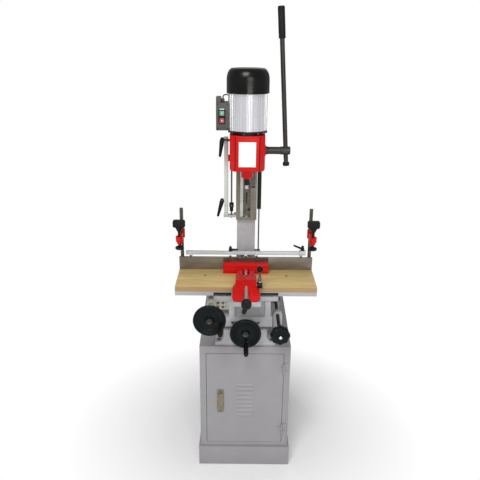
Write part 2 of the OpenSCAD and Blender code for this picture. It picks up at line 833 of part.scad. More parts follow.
// Motor
module motor_flange() {
    color(satin_black)
        difference() {
            union() {
                along_z(0, spindle_y, head_w / 2 - 3.5, flange_bottom, flange_bottom + 10);
                block(-motor_r + 1, motor_r - 1, spindle_y - 45, spindle_y + 45,
                    flange_bottom + 10, motor_bottom);
                along_z(0, spindle_y, motor_r - 1, flange_bottom + 10, motor_bottom);
            }
            along_z(0, spindle_y, motor_shaft_r + run_fit, flange_bottom - 1, motor_bottom + 1);
        }
}

rotor_r = 36;

module motor_body() {
    color(aluminium)
        difference() {
            union() {
                translate([0, spindle_y, motor_bottom])
                    linear_extrude(motor_h)
                        polygon([for (i = [0:fins - 1], s = [[-0.32, 0], [-0.14, 1], [0.14, 1], [0.32, 0]])
                            polar(motor_r - fin_d + s[1] * fin_d, (i + s[0]) * 360 / fins)]);
                along_x(spindle_y, lead_top, 5.5, motor_gland_x, -motor_r + 6);
                along_z(0, spindle_y, fan_cover_r - fan_cover_wall - 0.3, motor_top - 7, motor_top + 6);
            }
            block(-motor_r - 1, switch_x1, spindle_y - switch_d, spindle_y + switch_d, motor_bottom - 1,
                switch_bottom + switch_h + 1);
            along_z(0, spindle_y, rotor_r + 1, motor_bottom - 1, motor_top - 14);
            along_z(0, spindle_y, motor_shaft_r + run_fit, motor_bottom, motor_top + 7);
        }
}

// The fan cover is turned: straight side, then a quarter ellipse up to the flat top
module fan_cover() {
    side_h = fan_cover_h - 42;
    lip = 6;
    shoulder = 23;
    inner = fan_cover_r - fan_cover_wall;
    color(satin_black)
        translate([0, spindle_y, motor_top])
            difference() {
                rotate_extrude()
                    polygon(concat([[0, -lip], [fan_cover_r, -lip]],
                        [for (a = [0:15:90]) [fan_cover_r - shoulder + shoulder * cos(a), side_h + 42 * sin(a)]],
                        [[0, fan_cover_h]]));
                rotate_extrude()
                    polygon(concat([[0, -lip - 1], [inner, -lip - 1]],
                        [for (a = [0:15:90]) [inner - shoulder + shoulder * cos(a),
                            side_h - 2 + (42 - fan_cover_wall) * sin(a)]],
                        [[0, fan_cover_h - fan_cover_wall - 2]]));
            }
}

module motor_rotor() {
    color(bright_steel)
        union() {
            along_z(0, spindle_y, motor_shaft_r, head_bottom + 60, motor_top + 38);
            along_z(0, spindle_y, rotor_r, motor_bottom + 8, motor_top - 22);
            along_z(0, spindle_y, 14, motor_top + 8, motor_top + 34);
            for (i = [0:6])
                translate([0, spindle_y, 0])
                    rotate([0, 0, i * 360 / 7])
                        block(10, fan_cover_r - 20, -1.5, 1.5, motor_top + 10, motor_top + 32);
        }
}

// Switch box on the motor's left, with two buttons, a cap and two cable glands
switch_x1 = -motor_r + 4;
switch_x0 = switch_x1 - switch_w;
switch_front = spindle_y - 42;
switch_bottom = motor_bottom + 1;
switch_cap_h = 19;
switch_cap_w = 18;
button_s = 18;
button_x = switch_x0 + switch_w / 2 - 2;

module switch_box() {
    top = switch_bottom + switch_h;
    color([0.22, 0.23, 0.25])
        difference() {
            union() {
                block(switch_x0, switch_x1, switch_front, switch_front + switch_d, switch_bottom, top);
                block(switch_x0, switch_x0 + switch_cap_w, switch_front + 6, switch_front + switch_d - 6,
                    top, top + switch_cap_h);
                along_z(lead_x, spindle_y, 6, top, top + gland_h);
                along_z(lead_x, switch_front + 16, 6, top, top + 2 * gland_h);
            }
            for (z = button_heights())
                block(button_x - button_s / 2 - 0.4, button_x + button_s / 2 + 0.4, switch_front - 1,
                    switch_front + 12, z - button_s / 2 - 0.4, z + button_s / 2 + 0.4);
        }
}

// The motor lead: radius, place, its bend and its straight stretches
lead_x = switch_x1 - 23;
lead_r = 2.25;
lead_bend = 9;
lead_rise = 9;
lead_run = 8;
gland_h = 7;
lead_bottom = switch_bottom + switch_h + gland_h;
lead_top = lead_bottom + lead_rise + lead_bend;
motor_gland_x = lead_x + lead_bend + lead_run;

function button_heights() = [switch_bottom + 36, switch_bottom + 63];

module push_button(z) {
    block(button_x - button_s / 2, button_x + button_s / 2, switch_front - 4, switch_front + 8,
        z - button_s / 2, z + button_s / 2);
}

module start_button() {
    color("green")
        push_button(button_heights()[1]);
}

module stop_button() {
    color("red")
        push_button(button_heights()[0]);
}

// The motor lead rises from the box's gland, bends once and enters the motor's gland
module motor_lead() {
    color(satin_black) {
        along_z(lead_x, spindle_y, lead_r, lead_bottom, lead_bottom + lead_rise);
        translate([lead_x + lead_bend, spindle_y, lead_bottom + lead_rise])
            rotate([90, 0, 0])
                rotate([0, 0, 90])
                    rotate_extrude(angle = 90)
                        translate([lead_bend, 0])
                            circle(r = lead_r, $fn = 24);
        along_x(spindle_y, lead_top, lead_r, lead_x + lead_bend, motor_gland_x);
    }
}

// Spindle, chuck, chisel and bit
module drill_chuck() {
    color(bare_iron)
        difference() {
            union() {
                along_z(0, spindle_y, 17, head_bottom + 22, head_bottom + 62);
                translate([0, spindle_y, head_bottom + 12])
                    cylinder(r1 = 10, r2 = 17, h = 10);
            }
            along_z(0, spindle_y, bit_r, head_bottom + 11, head_bottom + 50);
            along_z(0, spindle_y, motor_shaft_r, head_bottom + 60, head_bottom + 63);
        }
}

bit_r = 4.2;

module hollow_chisel() {
    top = head_bottom - nose_h;
    tip = pivot_z + chisel_tip_rise;
    color(bare_iron)
        difference() {
            union() {
                along_z(0, spindle_y, 9.5, top - 12, top + 36);
                along_z(0, spindle_y, 10.5, top - 25, top - 12);
                along_z(0, spindle_y, 7, top - 40, top - 25);
                block(-chisel_s / 2, chisel_s / 2, spindle_y - chisel_s / 2, spindle_y + chisel_s / 2,
                    tip, top - 40);
            }
            along_z(0, spindle_y, bit_r + 0.4, tip - 1, top + 37);
            for (turn = [0, 90])
                translate([0, spindle_y, tip])
                    rotate([0, 0, turn])
                        pull_y(-chisel_s, chisel_s)
                            polygon([[-4, -1], [4, -1], [0, 5]]);
        }
}

module auger_bit() {
    color(bright_steel) {
        along_z(0, spindle_y, bit_r, pivot_z + chisel_tip_rise - 2, head_bottom + 50);
        translate([0, spindle_y, pivot_z + chisel_tip_rise - 6])
            cylinder(r1 = 0.6, r2 = bit_r, h = 4);
    }
}

// Feed lever: long rod through a hub, grip above and a ball end below
lever_x = head_w / 2 + lever_out;
lever_hub_end = lever_x + 18;
lever_shaft_end = lever_x - 24;

module feed_lever() {
    color(satin_black) {
        difference() {
            along_x(lever_y, lever_z, 16, head_w / 2 + 7, lever_hub_end);
            along_x(lever_y, lever_z, shaft_r, head_w / 2 + 6, lever_shaft_end);
        }
        translate([lever_x, lever_y, lever_z])
            rotate([0, -lever_lean, 0]) {
                along_z(0, 0, lever_rod_r, 15, lever_len - lever_grip_len);
                along_z(0, 0, lever_rod_r + 4, lever_len - lever_grip_len, lever_len - 8);
                along_z(0, 0, lever_rod_r, lever_len - 8, lever_len - 2);
                along_z(0, 0, lever_rod_r, -50, -15);
                along_z(0, 0, lever_rod_r + 4, -60, -46);
            }
    }
}

module feed_pinion_shaft() {
    color(bright_steel) {
        along_x(lever_y, lever_z, shaft_r, -head_w / 2 + 16, pinion_x0);
        along_x(lever_y, lever_z, shaft_r, pinion_x1, lever_shaft_end);
        translate([0, lever_y, lever_z])
            pull_x(pinion_x0, pinion_x1)
                polygon(gear_points(lever_teeth, 180 / lever_teeth));
    }
}

// Saddle
leg_d = 18;
bar_d = 30;
way_y1 = saddle_back - 10;
way_y0 = way_y1 - long_way_d;

// The long way's dovetail, drawn in Y and Z and grown by a gap
function long_way(gap) = [[way_y0 + 10 - gap, bar_bottom - 1], [way_y0 + 10 - gap, bar_bottom + 8],
    [way_y0 - gap, long_way_top + gap], [way_y1 + gap, long_way_top + gap],
    [way_y1 - 10 + gap, bar_bottom + 8], [way_y1 - 10 + gap, bar_bottom - 1]];

box_x0 = -67;
box_x1 = 100;
leg_w = 23;

module saddle_casting() {
    color(cast_grey)
        difference() {
            union() {
                block(-saddle_w / 2, saddle_w / 2, base_front, saddle_back, saddle_bottom, saddle_plate_top);
                block(box_x0 + 3, box_x1 - 3, base_front + leg_d, saddle_back, saddle_plate_top - 1, bar_bottom);
                for (x = [box_x0, box_x1 - leg_w])
                    block(x, x + leg_w, base_front, base_front + leg_d + 1, saddle_plate_top - 1, bar_bottom);
                block(-long_way_len / 2, long_way_len / 2, base_front + 5, base_front + 5 + bar_d,
                    bar_bottom, bar_top);
                pull_x(-long_way_len / 2, long_way_len / 2)
                    polygon(long_way(0));
                block(-22, 22, base_front - 12, base_front + 1, base_top + 2, saddle_plate_top - 5);
            }
            pull_y(base_front - 0.5, saddle_back + 1)
                polygon(cross_way(slide_gap));
            along_y(0, cross_z, screw_r + run_fit, base_front - 13, base_front + 30);
        }
}

module feed_bracket() {
    color([0.72, 0.7, 0.64])
        difference() {
            union() {
                along_y(feed_x, feed_z, 20, base_front - 7, base_front + 43);
                block(feed_x, box_x0, base_front + 3, base_front + 21, feed_z - 24, feed_z + 13);
            }
            along_y(feed_x, feed_z, feed_shaft_r + run_fit, base_front - 8, base_front + 44);
            block(-long_way_len / 2, long_way_len / 2, base_front + 5, base_front + 5 + bar_d,
                bar_bottom, bar_top);
            for (x = [feed_x + 32, feed_x + 58], z = [feed_z - 12, feed_z + 6])
                along_y(x, z, 3, base_front + 2, base_front + 8);
        }
}

feed_shaft_r = 7.5;

// A spoked-disc handwheel whose front face looks to -Y
module handwheel(x, z, y, bore_r) {
    color(satin_black)
        translate([x, y, z])
            rotate([90, 0, 0])
                difference() {
                    rotate_extrude()
                        polygon([[0, -wheel_t / 2 - 8], [15, -wheel_t / 2 - 8], [17, -5], [wheel_r - 14, -2],
                            [wheel_r - 12, -7], [wheel_r - 3, -7], [wheel_r, -3], [wheel_r, 3],
                            [wheel_r - 3, 8], [wheel_r - 12, 8], [wheel_r - 15, 3], [20, 3],
                            [16, wheel_t / 2 + 3], [0, wheel_t / 2 + 3]]);
                    translate([0, 0, -wheel_t / 2 - 9])
                        cylinder(r = bore_r, h = wheel_t + 8);
                }
}

module crank_grip(x, z, y) {
    color(satin_black)
        translate([x, y, z])
            rotate([90, 0, 0])
                difference() {
                    rotate_extrude()
                        polygon([[0, 0], [7, 0], [7.5, 6], [9.5, 20], [10, grip_len - 16], [8, grip_len - 4],
                            [5, grip_len], [0, grip_len]]);
                    translate([0, 0, -1])
                        cylinder(r = 4 + run_fit, h = grip_len - 8);
                }
}

module crank_pin(x, z, y) {
    along_y(x, z, 4, y - grip_len + 12, y + 6);
}

module cross_wheel() {
    handwheel(0, cross_z, cross_wheel_y, screw_r);
    color(bright_steel)
        crank_pin(2, cross_z - crank_r, cross_wheel_y - 8.6);
}

module cross_grip() {
    crank_grip(2, cross_z - crank_r, cross_wheel_y - 8.5);
}

module cross_screw() {
    color(bright_steel)
        along_y(0, cross_z, screw_r, cross_wheel_y - 8, nut_y + nut_len + screw_tail);
}

feed_grip_angle = -20;

module feed_wheel() {
    handwheel(feed_x, feed_z, feed_wheel_y, feed_shaft_r);
    color(bright_steel)
        crank_pin(feed_x + crank_r * cos(feed_grip_angle), feed_z + crank_r * sin(feed_grip_angle),
            feed_wheel_y - 8.6);
}

module feed_grip() {
    crank_grip(feed_x + crank_r * cos(feed_grip_angle), feed_z + crank_r * sin(feed_grip_angle),
        feed_wheel_y - 8.5);
}

rack_y0 = base_front + 44;
rack_y1 = rack_y0 + 16;

module feed_shaft() {
    color(bright_steel) {
        along_y(feed_x, feed_z, feed_shaft_r, feed_wheel_y - 8, rack_y1);
        translate([feed_x, 0, feed_z])
            pull_y(rack_y0, rack_y1)
                polygon(gear_points(feed_teeth, 90 + 180 / feed_teeth));
    }
    color(satin_black)
        difference() {
            along_y(feed_x, feed_z, 12, base_front - 22, base_front - 7.4);
            along_y(feed_x, feed_z, feed_shaft_r - 1, base_front - 23, base_front - 7);
        }
}

// Table: iron plate with dovetail rails, feed rack and the vise's tongue
feed_rack_teeth = 21;
vise_lug_w = 114;

module table_plate() {
    rack_pitch_z = feed_z + feed_pinion_r;
    color(cast_grey)
        union() {
            difference() {
                block(-table_len / 2, table_len / 2, board_front, plate_back, table_bottom, plate_top);
                block(-edge_half, edge_half, board_front - 1, board_front + 12, table_bottom - 1, plate_top - 3);
            }
            difference() {
                block(-200, 200, way_y0 - 10, way_y1 + 9, bar_bottom + 9, table_bottom + 1);
                pull_x(-201, 201)
                    polygon(long_way(slide_gap));
            }
            translate([feed_x, 0, rack_pitch_z])
                pull_y(rack_y0, rack_y1)
                    polygon([for (p = rack_points(feed_rack_teeth, table_bottom - rack_pitch_z + 1)) [p[0], -p[1]]]);
            block(-vise_lug_w / 2, vise_lug_w / 2, vise_front, board_front + 13, lug_z, vise_bottom);
        }
}

lug_z = bar_top + 1;
vise_bottom = lug_z + 19;
vise_front = board_front - 77;
edge_half = 128;

module wood_board() {
    color(pine)
        block(-table_len / 2, table_len / 2, board_front, fence_front, plate_top, board_top);
}

module fence() {
    color(bare_iron)
        block(-table_len / 2, table_len / 2, fence_front, fence_back, plate_top, board_top + fence_h);
}

module stop_rail() {
    ledge = rail_bottom - 5;
    foot = 6.5;
    color(aluminium)
        difference() {
            union() {
                block(-rail_len / 2, rail_len / 2, rail_front, rail_front + rail_s, rail_bottom, rail_top);
                for (x = [-rail_len / 2 + 22, left_lever_x, 0, 45, rail_len / 2 - 22])
                    block(x - foot, x + foot, fence_front, rail_front + rail_s, ledge, rail_bottom);
            }
            along_z(left_lever_x, rail_y, stud_r + run_fit, rail_top - stud_len - 1, rail_top + 1);
        }
}

left_lever_x = -65;
stud_r = 4;
stud_len = 9;
stop_block_w = 26;
stop_roof = 5;
right_lever_x = rail_len / 2 - 1 - stop_block_w / 2;

module rail_stop() {
    g = slide_gap;
    color(aluminium)
        difference() {
            block(right_lever_x - stop_block_w / 2, right_lever_x + stop_block_w / 2, rail_front - 3.8,
                rail_front + rail_s + 4, rail_bottom + 1, rail_top + stop_roof);
            block(right_lever_x - stop_block_w, right_lever_x + stop_block_w, rail_front - g,
                rail_front + rail_s + g, rail_bottom - 1, rail_top + g);
            along_z(right_lever_x, rail_y, stud_r + run_fit, rail_top, rail_top + stop_roof + 1);
        }
}

// A small clamp lever standing on z, its arm pointing along an angle in plan and rising a little
module rail_lever(x, z, stud, angle, reach, rise) {
    color(satin_black) {
        along_z(x, rail_y, stud_r, z - stud, z + 1);
        along_z(x, rail_y, 7, z + 0.3, z + 12);
        translate([x, rail_y, z + 12])
            cylinder(r1 = 7, r2 = 4, h = 9);
        hull() {
            translate([x, rail_y, z + 7])
                sphere(r = 4.5, $fn = 24);
            translate([x + reach * cos(angle), rail_y + reach * sin(angle), z + 7 + rise])
                sphere(r = 4, $fn = 24);
        }
    }
}

module rail_lever_left() {
    rail_lever(left_lever_x, rail_top, stud_len, 0, 28, 0);
}

module rail_lever_right() {
    rail_lever(right_lever_x, rail_top + stop_roof, stop_roof - 1, 180, 36, 15);
}

// Hold-downs
module hold_down_posts() {
    color(bright_steel)
        for (side = [-1, 1]) {
            along_z(side * post_x, rail_y, post_r, plate_top, post_top);
            along_z(side * post_x, rail_y, 12.4, plate_top, plate_top + 14);
        }
}

module hold_down_arm(right) {
    top = arm_bottom + arm_h;
    lean = atan((boss_x - post_x) / (rail_y - spindle_y));
    span = (rail_y - spindle_y) / cos(lean);
    color(machine_red)
        mirror_x(right)
            difference() {
                union() {
                    along_z(post_x, rail_y, 13, arm_bottom + 6, top);
                    along_z(boss_x, spindle_y, 15, arm_bottom + 12, top);
                    translate([boss_x, spindle_y, arm_bottom - 2])
                        cylinder(r1 = 8, r2 = 15, h = 14);
                    translate([post_x, rail_y, 0])
                        rotate([0, 0, -90 + lean])
                            block(0, span, -8, 8, arm_bottom + 12, top - 6);
                }
                along_z(post_x, rail_y, post_r + run_fit, arm_bottom - 3, top + 1);
                along_z(boss_x, spindle_y, hold_screw_r + run_fit, arm_bottom - 3, top + 1);
            }
}

module hold_down_arm_left() {
    hold_down_arm(false);
}

module hold_down_arm_right() {
    hold_down_arm(true);
}

pad_top = arm_bottom - 13;
pad_h = 11;
knob_bottom = arm_bottom + arm_h + 24;
knob_w = 50;
knob_h = 31;
knob_d = 20;
pad_pin_r = 4;

module hold_down_knob(right) {
    color(satin_black)
        mirror_x(right)
            union() {
                along_z(boss_x, spindle_y, hold_screw_r, pad_top, knob_bottom + 4);
                along_z(boss_x, spindle_y, pad_pin_r, pad_top - 7, pad_top);
                translate([boss_x, spindle_y, knob_bottom])
                    cylinder(r1 = 8, r2 = 12, h = knob_h / 2);
                for (side = [-1, 1])
                    along_y(boss_x + side * (knob_w - knob_h) / 2, knob_bottom + 3 + knob_h / 2, knob_h / 2,
                        spindle_y - knob_d / 2, spindle_y + knob_d / 2);
                block(boss_x - (knob_w - knob_h) / 2, boss_x + (knob_w - knob_h) / 2, spindle_y - knob_d / 2,
                    spindle_y + knob_d / 2, knob_bottom + 3, knob_bottom + 3 + knob_h);
            }
}

module hold_down_knob_left() {
    hold_down_knob(false);
}

module hold_down_knob_right() {
    hold_down_knob(true);
}

module hold_down_pad(right) {
    color(satin_black)
        mirror_x(right)
            difference() {
                along_z(boss_x, spindle_y, pad_r, pad_top - pad_h, pad_top - 0.3);
                along_z(boss_x, spindle_y, pad_pin_r + run_fit, pad_top - 7.5, pad_top + 1);
            }
}

module hold_down_pad_left() {
    hold_down_pad(false);
}

module hold_down_pad_right() {
    hold_down_pad(true);
}

// Vise: housing over the board's front edge, sliding T-shaped jaw, screw and cam lever
house_back = board_front + house_len;
neck_front = house_back - 25;
house_wall = 6;
cam_shaft_r = 6;
cam_hub_r = 12;

module vise_body() {
    top = board_top + 36;
    outer = neck_w / 2 + house_wall;
    flare = 53.5;
    lobe_r = 22;
    color(machine_red)
        difference() {
            union() {
                block(-outer, outer, board_front - 6, house_back, board_top, top);
                pull_y(vise_front, board_front) {
                    polygon([[-flare + lobe_r, vise_bottom], [flare - lobe_r, vise_bottom],
                        [flare - 1, vise_bottom + lobe_r + 6], [outer, vise_bottom + 46], [outer, top],
                        [-outer, top], [-outer, vise_bottom + 46], [-flare + 1, vise_bottom + lobe_r + 6]]);
                    for (side = [-1, 1])
                        translate([side * (flare - lobe_r), vise_bottom + lobe_r])
                            circle(r = lobe_r);
                }
            }
            block(-neck_w / 2 - slide_gap, neck_w / 2 + slide_gap, board_front - 5, house_back + 1,
                board_top - 1, board_top + 30 + slide_gap);
            // a sloping front and the notch that bares the screw
            pull_x(-flare - 1, flare + 1)
                polygon([[vise_front - 1, vise_bottom + 26], [vise_front - 1, top + 1], [board_front - 12, top + 1]]);
            pull_y(vise_front - 1, board_front - 30)
                polygon([[-12, vise_bottom - 1], [12, vise_bottom - 1], [7, vise_z - 4], [0, vise_z + 8],
                    [-7, vise_z - 4]]);
            along_y(0, vise_z, vise_screw_r + run_fit, vise_front - 1, board_front);
            along_x(cam_y, vise_z + 2, cam_shaft_r + run_fit, 20, outer + 20);
            // the pocket that the cam lever's hub turns in
            along_x(cam_y, vise_z + 2, cam_hub_r + 1, outer + 0.5, flare + 1);
        }
}

module vise_jaw() {
    top = board_top + jaw_h;
    color(machine_red)
        difference() {
            union() {
                block(-neck_w / 2, neck_w / 2, neck_front, jaw_front + 10, board_top + 0.3, board_top + 30);
                block(-jaw_w / 2, jaw_w / 2, jaw_front, jaw_front + 21, board_top + 0.3, board_top + 25);
                block(-jaw_w / 2, jaw_w / 2, jaw_front + 20, fence_front - 7, board_top + 0.3, top);
            }
            along_y(0, vise_z, vise_screw_r - 2 + run_fit, neck_front - 1, neck_front + 41);
        }
    color(bare_iron)
        block(-jaw_w / 2, jaw_w / 2, fence_front - 7, fence_front - 2, board_top + 0.3, board_top + fence_h);
}

module vise_screw() {
    hub_y = vise_front - vise_screw_out;
    color(bright_steel) {
        along_y(0, vise_z, vise_screw_r, hub_y + 20, neck_front - 0.3);
        along_y(0, vise_z, vise_screw_r - 2, neck_front - 0.3, neck_front + 40);
    }
    color(satin_black) {
        along_y(0, vise_z, 19, hub_y, hub_y + 24);
        hull() {
            translate([-2, hub_y + 12, vise_z - 14])
                sphere(r = 9, $fn = 24);
            translate([-8, hub_y + 12, vise_z - 31])
                sphere(r = 8, $fn = 24);
        }
    }
}

module cam_lever() {
    outer = neck_w / 2 + house_wall;
    x = outer + 12;
    y = cam_y;
    color(satin_black) {
        along_x(y, vise_z + 2, cam_shaft_r, 22, outer + 1);
        along_x(y, vise_z + 2, cam_hub_r, outer + 1, outer + 22);
    }
    color(bright_steel)
        along_z(x, y, 4, vise_z + 8, vise_z + 60);
    color(satin_black)
        translate([x, y, vise_z + 68])
            sphere(r = 12.5);
}

plinth();
cabinet_shell();
door_hinges();
cabinet_door();
latch_handle();
base_casting();
pivot_bolt();
tilt_knob();
tilt_pinion_shaft();
column();
column_rack();
tilt_sector();
depth_bracket();
scale_bar();
stop_rod();
stop_collar();
stop_lock_lever();
spring_rod();
spring_cylinder();
head_casting();
motor_flange();
motor_body();
fan_cover();
switch_box();
start_button();
stop_button();
motor_lead();
hollow_chisel();
head_lock_lever();
motor_rotor();
drill_chuck();
auger_bit();
feed_lever();
feed_pinion_shaft();
saddle_casting();
feed_bracket();
cross_wheel();
cross_screw();
cross_grip();
feed_wheel();
feed_shaft();
feed_grip();
table_plate();
wood_board();
fence();
stop_rail();
rail_stop();
rail_lever_left();
rail_lever_right();
hold_down_posts();
hold_down_arm_left();
hold_down_arm_right();
hold_down_knob_left();
hold_down_knob_right();
hold_down_pad_left();
hold_down_pad_right();
vise_body();
vise_jaw();
vise_screw();
cam_lever();
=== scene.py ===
# Floor-standing tilting-head mortiser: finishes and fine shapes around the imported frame
import json
from math import asin, atan2, cos, degrees, hypot, pi, radians, sin, sqrt

import bmesh
import bpy
from mathutils import Matrix, Vector


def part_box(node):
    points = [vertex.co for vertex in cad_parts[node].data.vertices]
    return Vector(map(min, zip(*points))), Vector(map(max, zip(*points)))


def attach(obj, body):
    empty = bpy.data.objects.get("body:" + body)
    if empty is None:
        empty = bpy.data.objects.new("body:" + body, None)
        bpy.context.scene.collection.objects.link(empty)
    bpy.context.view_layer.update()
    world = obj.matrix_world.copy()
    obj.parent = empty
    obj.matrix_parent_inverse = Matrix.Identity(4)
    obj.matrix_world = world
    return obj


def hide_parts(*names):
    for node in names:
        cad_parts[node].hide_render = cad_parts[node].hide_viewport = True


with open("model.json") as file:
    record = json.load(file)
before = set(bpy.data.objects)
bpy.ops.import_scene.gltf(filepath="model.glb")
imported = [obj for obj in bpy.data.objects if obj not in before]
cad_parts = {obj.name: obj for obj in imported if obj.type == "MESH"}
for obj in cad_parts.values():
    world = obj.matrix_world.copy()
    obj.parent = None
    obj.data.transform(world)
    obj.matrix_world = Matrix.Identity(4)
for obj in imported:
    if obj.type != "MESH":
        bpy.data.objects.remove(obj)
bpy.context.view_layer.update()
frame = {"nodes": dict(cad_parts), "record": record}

scene = bpy.context.scene
mm = 0.001
bodyOf = {node: body for body, nodes in frame["record"]["behaviour"]["bodies"].items() for node in nodes}


def boxOf(node):
    # the lowest corner, the highest and the middle of a CAD node, in mm
    low, high = [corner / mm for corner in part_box(node)]
    return low, high, (low + high) / 2


def meshFrom(bm, name):
    mesh = bpy.data.meshes.new(name)
    bm.to_mesh(mesh)
    bm.free()
    return mesh


def addObject(name, data):
    thing = bpy.data.objects.new(name, data)
    scene.collection.objects.link(thing)
    return thing


# Camera: the photograph's own view, worked out for a square frame
cameraView = dict(
    place=(-25, -2268, 1747),  # mm
    pitch=19.2,  # degrees below level
    roll=0.5,  # the machine's top leans a little to the right
    sensorWidth=36, lens=42,  # mm: 560 pixels on a frame of 480
    clip=(0.05, 50)  # m
)


def makeCamera(place, pitch, roll, sensorWidth, lens, clip):
    data = bpy.data.cameras.new("camera")
    data.sensor_width = sensorWidth
    data.lens = lens
    data.clip_start, data.clip_end = clip
    camera = addObject("camera", data)
    tip = Matrix.Rotation(radians(90 - pitch), 4, "X")
    lean = Matrix.Rotation(radians(roll), 4, "Z")
    camera.matrix_world = Matrix.Translation(Vector(place) * mm) @ tip @ lean
    scene.camera = camera


makeCamera(**cameraView)


# Node trees. Each material made is kept in finishes under its name.
finishes = {}


def linearColour(hexText):
    channels = [int(hexText[i:i + 2], 16) / 255 for i in (1, 3, 5)]
    return [c / 12.92 if c <= 0.04045 else ((c + 0.055) / 1.055) ** 2.4 for c in channels] + [1]


def addNode(tree, kind, inputs=None, **settings):
    node = tree.nodes.new("ShaderNode" + kind)
    for name, value in settings.items():
        setattr(node, name, value)
    for name, value in (inputs or {}).items():
        if isinstance(value, bpy.types.NodeSocket):
            tree.links.new(value, node.inputs[name])
        else:
            node.inputs[name].default_value = linearColour(value) if isinstance(value, str) else value
    return node


def startMaterial(name):
    material = finishes[name] = bpy.data.materials.new(name)
    material.use_nodes = True
    tree = material.node_tree
    tree.nodes.clear()
    return tree, addNode(tree, "TexCoord").outputs["Object"]


def closeMaterial(tree, inputs):
    shader = addNode(tree, "BsdfPrincipled", inputs)
    addNode(tree, "OutputMaterial", {"Surface": shader.outputs[0]})


def noiseField(tree, place, size, stretch=(1, 1, 1), detail=3):
    # size is the grain's real size in mm, stretch how many times longer it is along each axis
    scaled = addNode(tree, "Mapping", {"Vector": place, "Scale": [1 / s for s in stretch]})
    return addNode(tree, "TexNoise", {
        "Vector": scaled.outputs[0], "Scale": 1 / (size * mm), "Detail": detail, "Roughness": 0.55}).outputs["Fac"]


def rangeOf(tree, value, low, high, start=0.3, end=0.7):
    return addNode(tree, "MapRange", {
        "Value": value, "From Min": start, "From Max": end, "To Min": low, "To Max": high}).outputs[0]


def sumOf(tree, first, second):
    return addNode(tree, "Math", {0: first, 1: second}, operation="ADD").outputs[0]


def colourMix(tree, factor, first, second):
    return addNode(tree, "Mix", {0: factor, 6: first, 7: second}, data_type="RGBA").outputs[2]


def bump(tree, height, depth, **under):
    # depth is the pattern's real height in mm, and under the Normal it lies on, if any
    return addNode(tree, "Bump", {"Height": height, "Distance": depth * mm, "Strength": 1, **under}).outputs[0]


# Enamel: brushed or sprayed paint over a sand casting or a rolled sheet. The casting's lumps show
# through as a soft swell, and the paint itself has an orange peel of about 2 mm. The rows of this
# and the next two tables hold what the function under them takes.
enamels = {
    "greyCastEnamel": ("#aeadaf", "#a5a4a6", 0.42, 16, 0.16, 2.2, 0.04, 0.4),
    "greySheetEnamel": ("#979497", "#929093", 0.45, 80, 0.12, 1.6, 0.02, 0.4),
    "beigeCastEnamel": ("#a9a699", "#989589", 0.45, 12, 0.3, 2, 0.06, 0.4),
    "redCastEnamel": ("#c90f0d", "#bd0d0b", 0.38, 14, 0.1, 2, 0.025, 0.2),
    # painted shade: dark red for the strips beside the head's front pad
    "shadowRedEnamel": ("#4a1210", "#3a0f0d", 0.6, 10, 0.1, 2, 0.03, 0.1),
    "charcoalEnamel": ("#302e2a", "#292723", 0.32, 30, 0.1, 1.5, 0.02, 0.4),
    "blackGlossEnamel": ("#0d0b09", "#0a0908", 0.24, 60, 0.1, 1.8, 0.015, 0.3),
    "blackSatinEnamel": ("#161512", "#11100e", 0.36, 10, 0.1, 1.5, 0.03, 0.25),
    # painted shade: dark olive for the floor of the table plate's recess
    "shadowPaint": ("#3a372c", "#2c2a21", 0.6, 10, 0.1, 1.5, 0.03, 0.1),
}


def makeEnamel(name, colour, shade, gloss, lump, lumpDepth, peel, peelDepth, sheen):
    tree, place = startMaterial(name)
    lumps = noiseField(tree, place, lump, detail=2)
    swell = bump(tree, lumps, lumpDepth)
    closeMaterial(tree, {
        "Base Color": colourMix(tree, rangeOf(tree, lumps, 0, 1), colour, shade),
        "Roughness": rangeOf(tree, noiseField(tree, place, 35), gloss - 0.05, gloss + 0.07),
        "Normal": bump(tree, noiseField(tree, place, peel, detail=1), peelDepth, Normal=swell),
        "Specular IOR Level": sheen})


# Bare metal: turned, ground, milled or drawn. The tool's marks run along one axis, and oil or a
# thin bloom of rust darkens it in cloudy patches. Rough or oxidised metal is less than fully metallic.
metals = {
    "groundColumnIron": ("#8f887d", "#625b51", 0.36, 1.2, (1, 1, 60), 0.02, 26, (1, 1, 5), 0.7, 0.8),
    "milledFenceIron": ("#8b8579", "#625a4c", 0.42, 1.6, (50, 1, 1), 0.04, 34, (5, 1, 1), 0.75, 0.75),
    "oiledGearSteel": ("#6f6a60", "#3d3a33", 0.38, 1.5, (1, 12, 1), 0.03, 12, (1, 1, 1), 0.7, 0.85),
    "turnedSteel": ("#d0cfcb", "#a5a29b", 0.26, 1, (1, 1, 1), 0.01, 18, (1, 1, 2), 0.5, 0.9),
    "postSteel": ("#6b665e", "#4a453d", 0.32, 1.2, (1, 1, 3), 0.01, 18, (1, 1, 3), 0.6, 0.85),
    "extrudedAluminium": ("#e4e4e8", "#bdbbba", 0.3, 3, (1, 1, 90), 0.002, 16, (1, 1, 30), 0.35, 0.6),
    "anodisedAluminium": ("#d3d5d6", "#c2c5c6", 0.36, 0.8, (40, 1, 1), 0.008, 60, (3, 1, 1), 0.4, 0.5),
    "scaleAluminium": ("#cdd1ca", "#bcc0ba", 0.38, 0.8, (1, 1, 40), 0.008, 60, (1, 1, 3), 0.4, 0.4),
    "blackenedSteel": ("#2c2a27", "#1e1c1a", 0.35, 1, (1, 1, 1), 0.01, 10, (1, 1, 1), 0.5, 0.6),
    "satinNickel": ("#918a77", "#655f4f", 0.3, 0.9, (1, 1, 20), 0.01, 14, (1, 1, 2), 0.5, 0.9),
    "brightChrome": ("#e2e4e6", "#d6d8db", 0.1, 1, (1, 1, 1), 0.002, 20, (1, 1, 1), 0.3, 1),
}


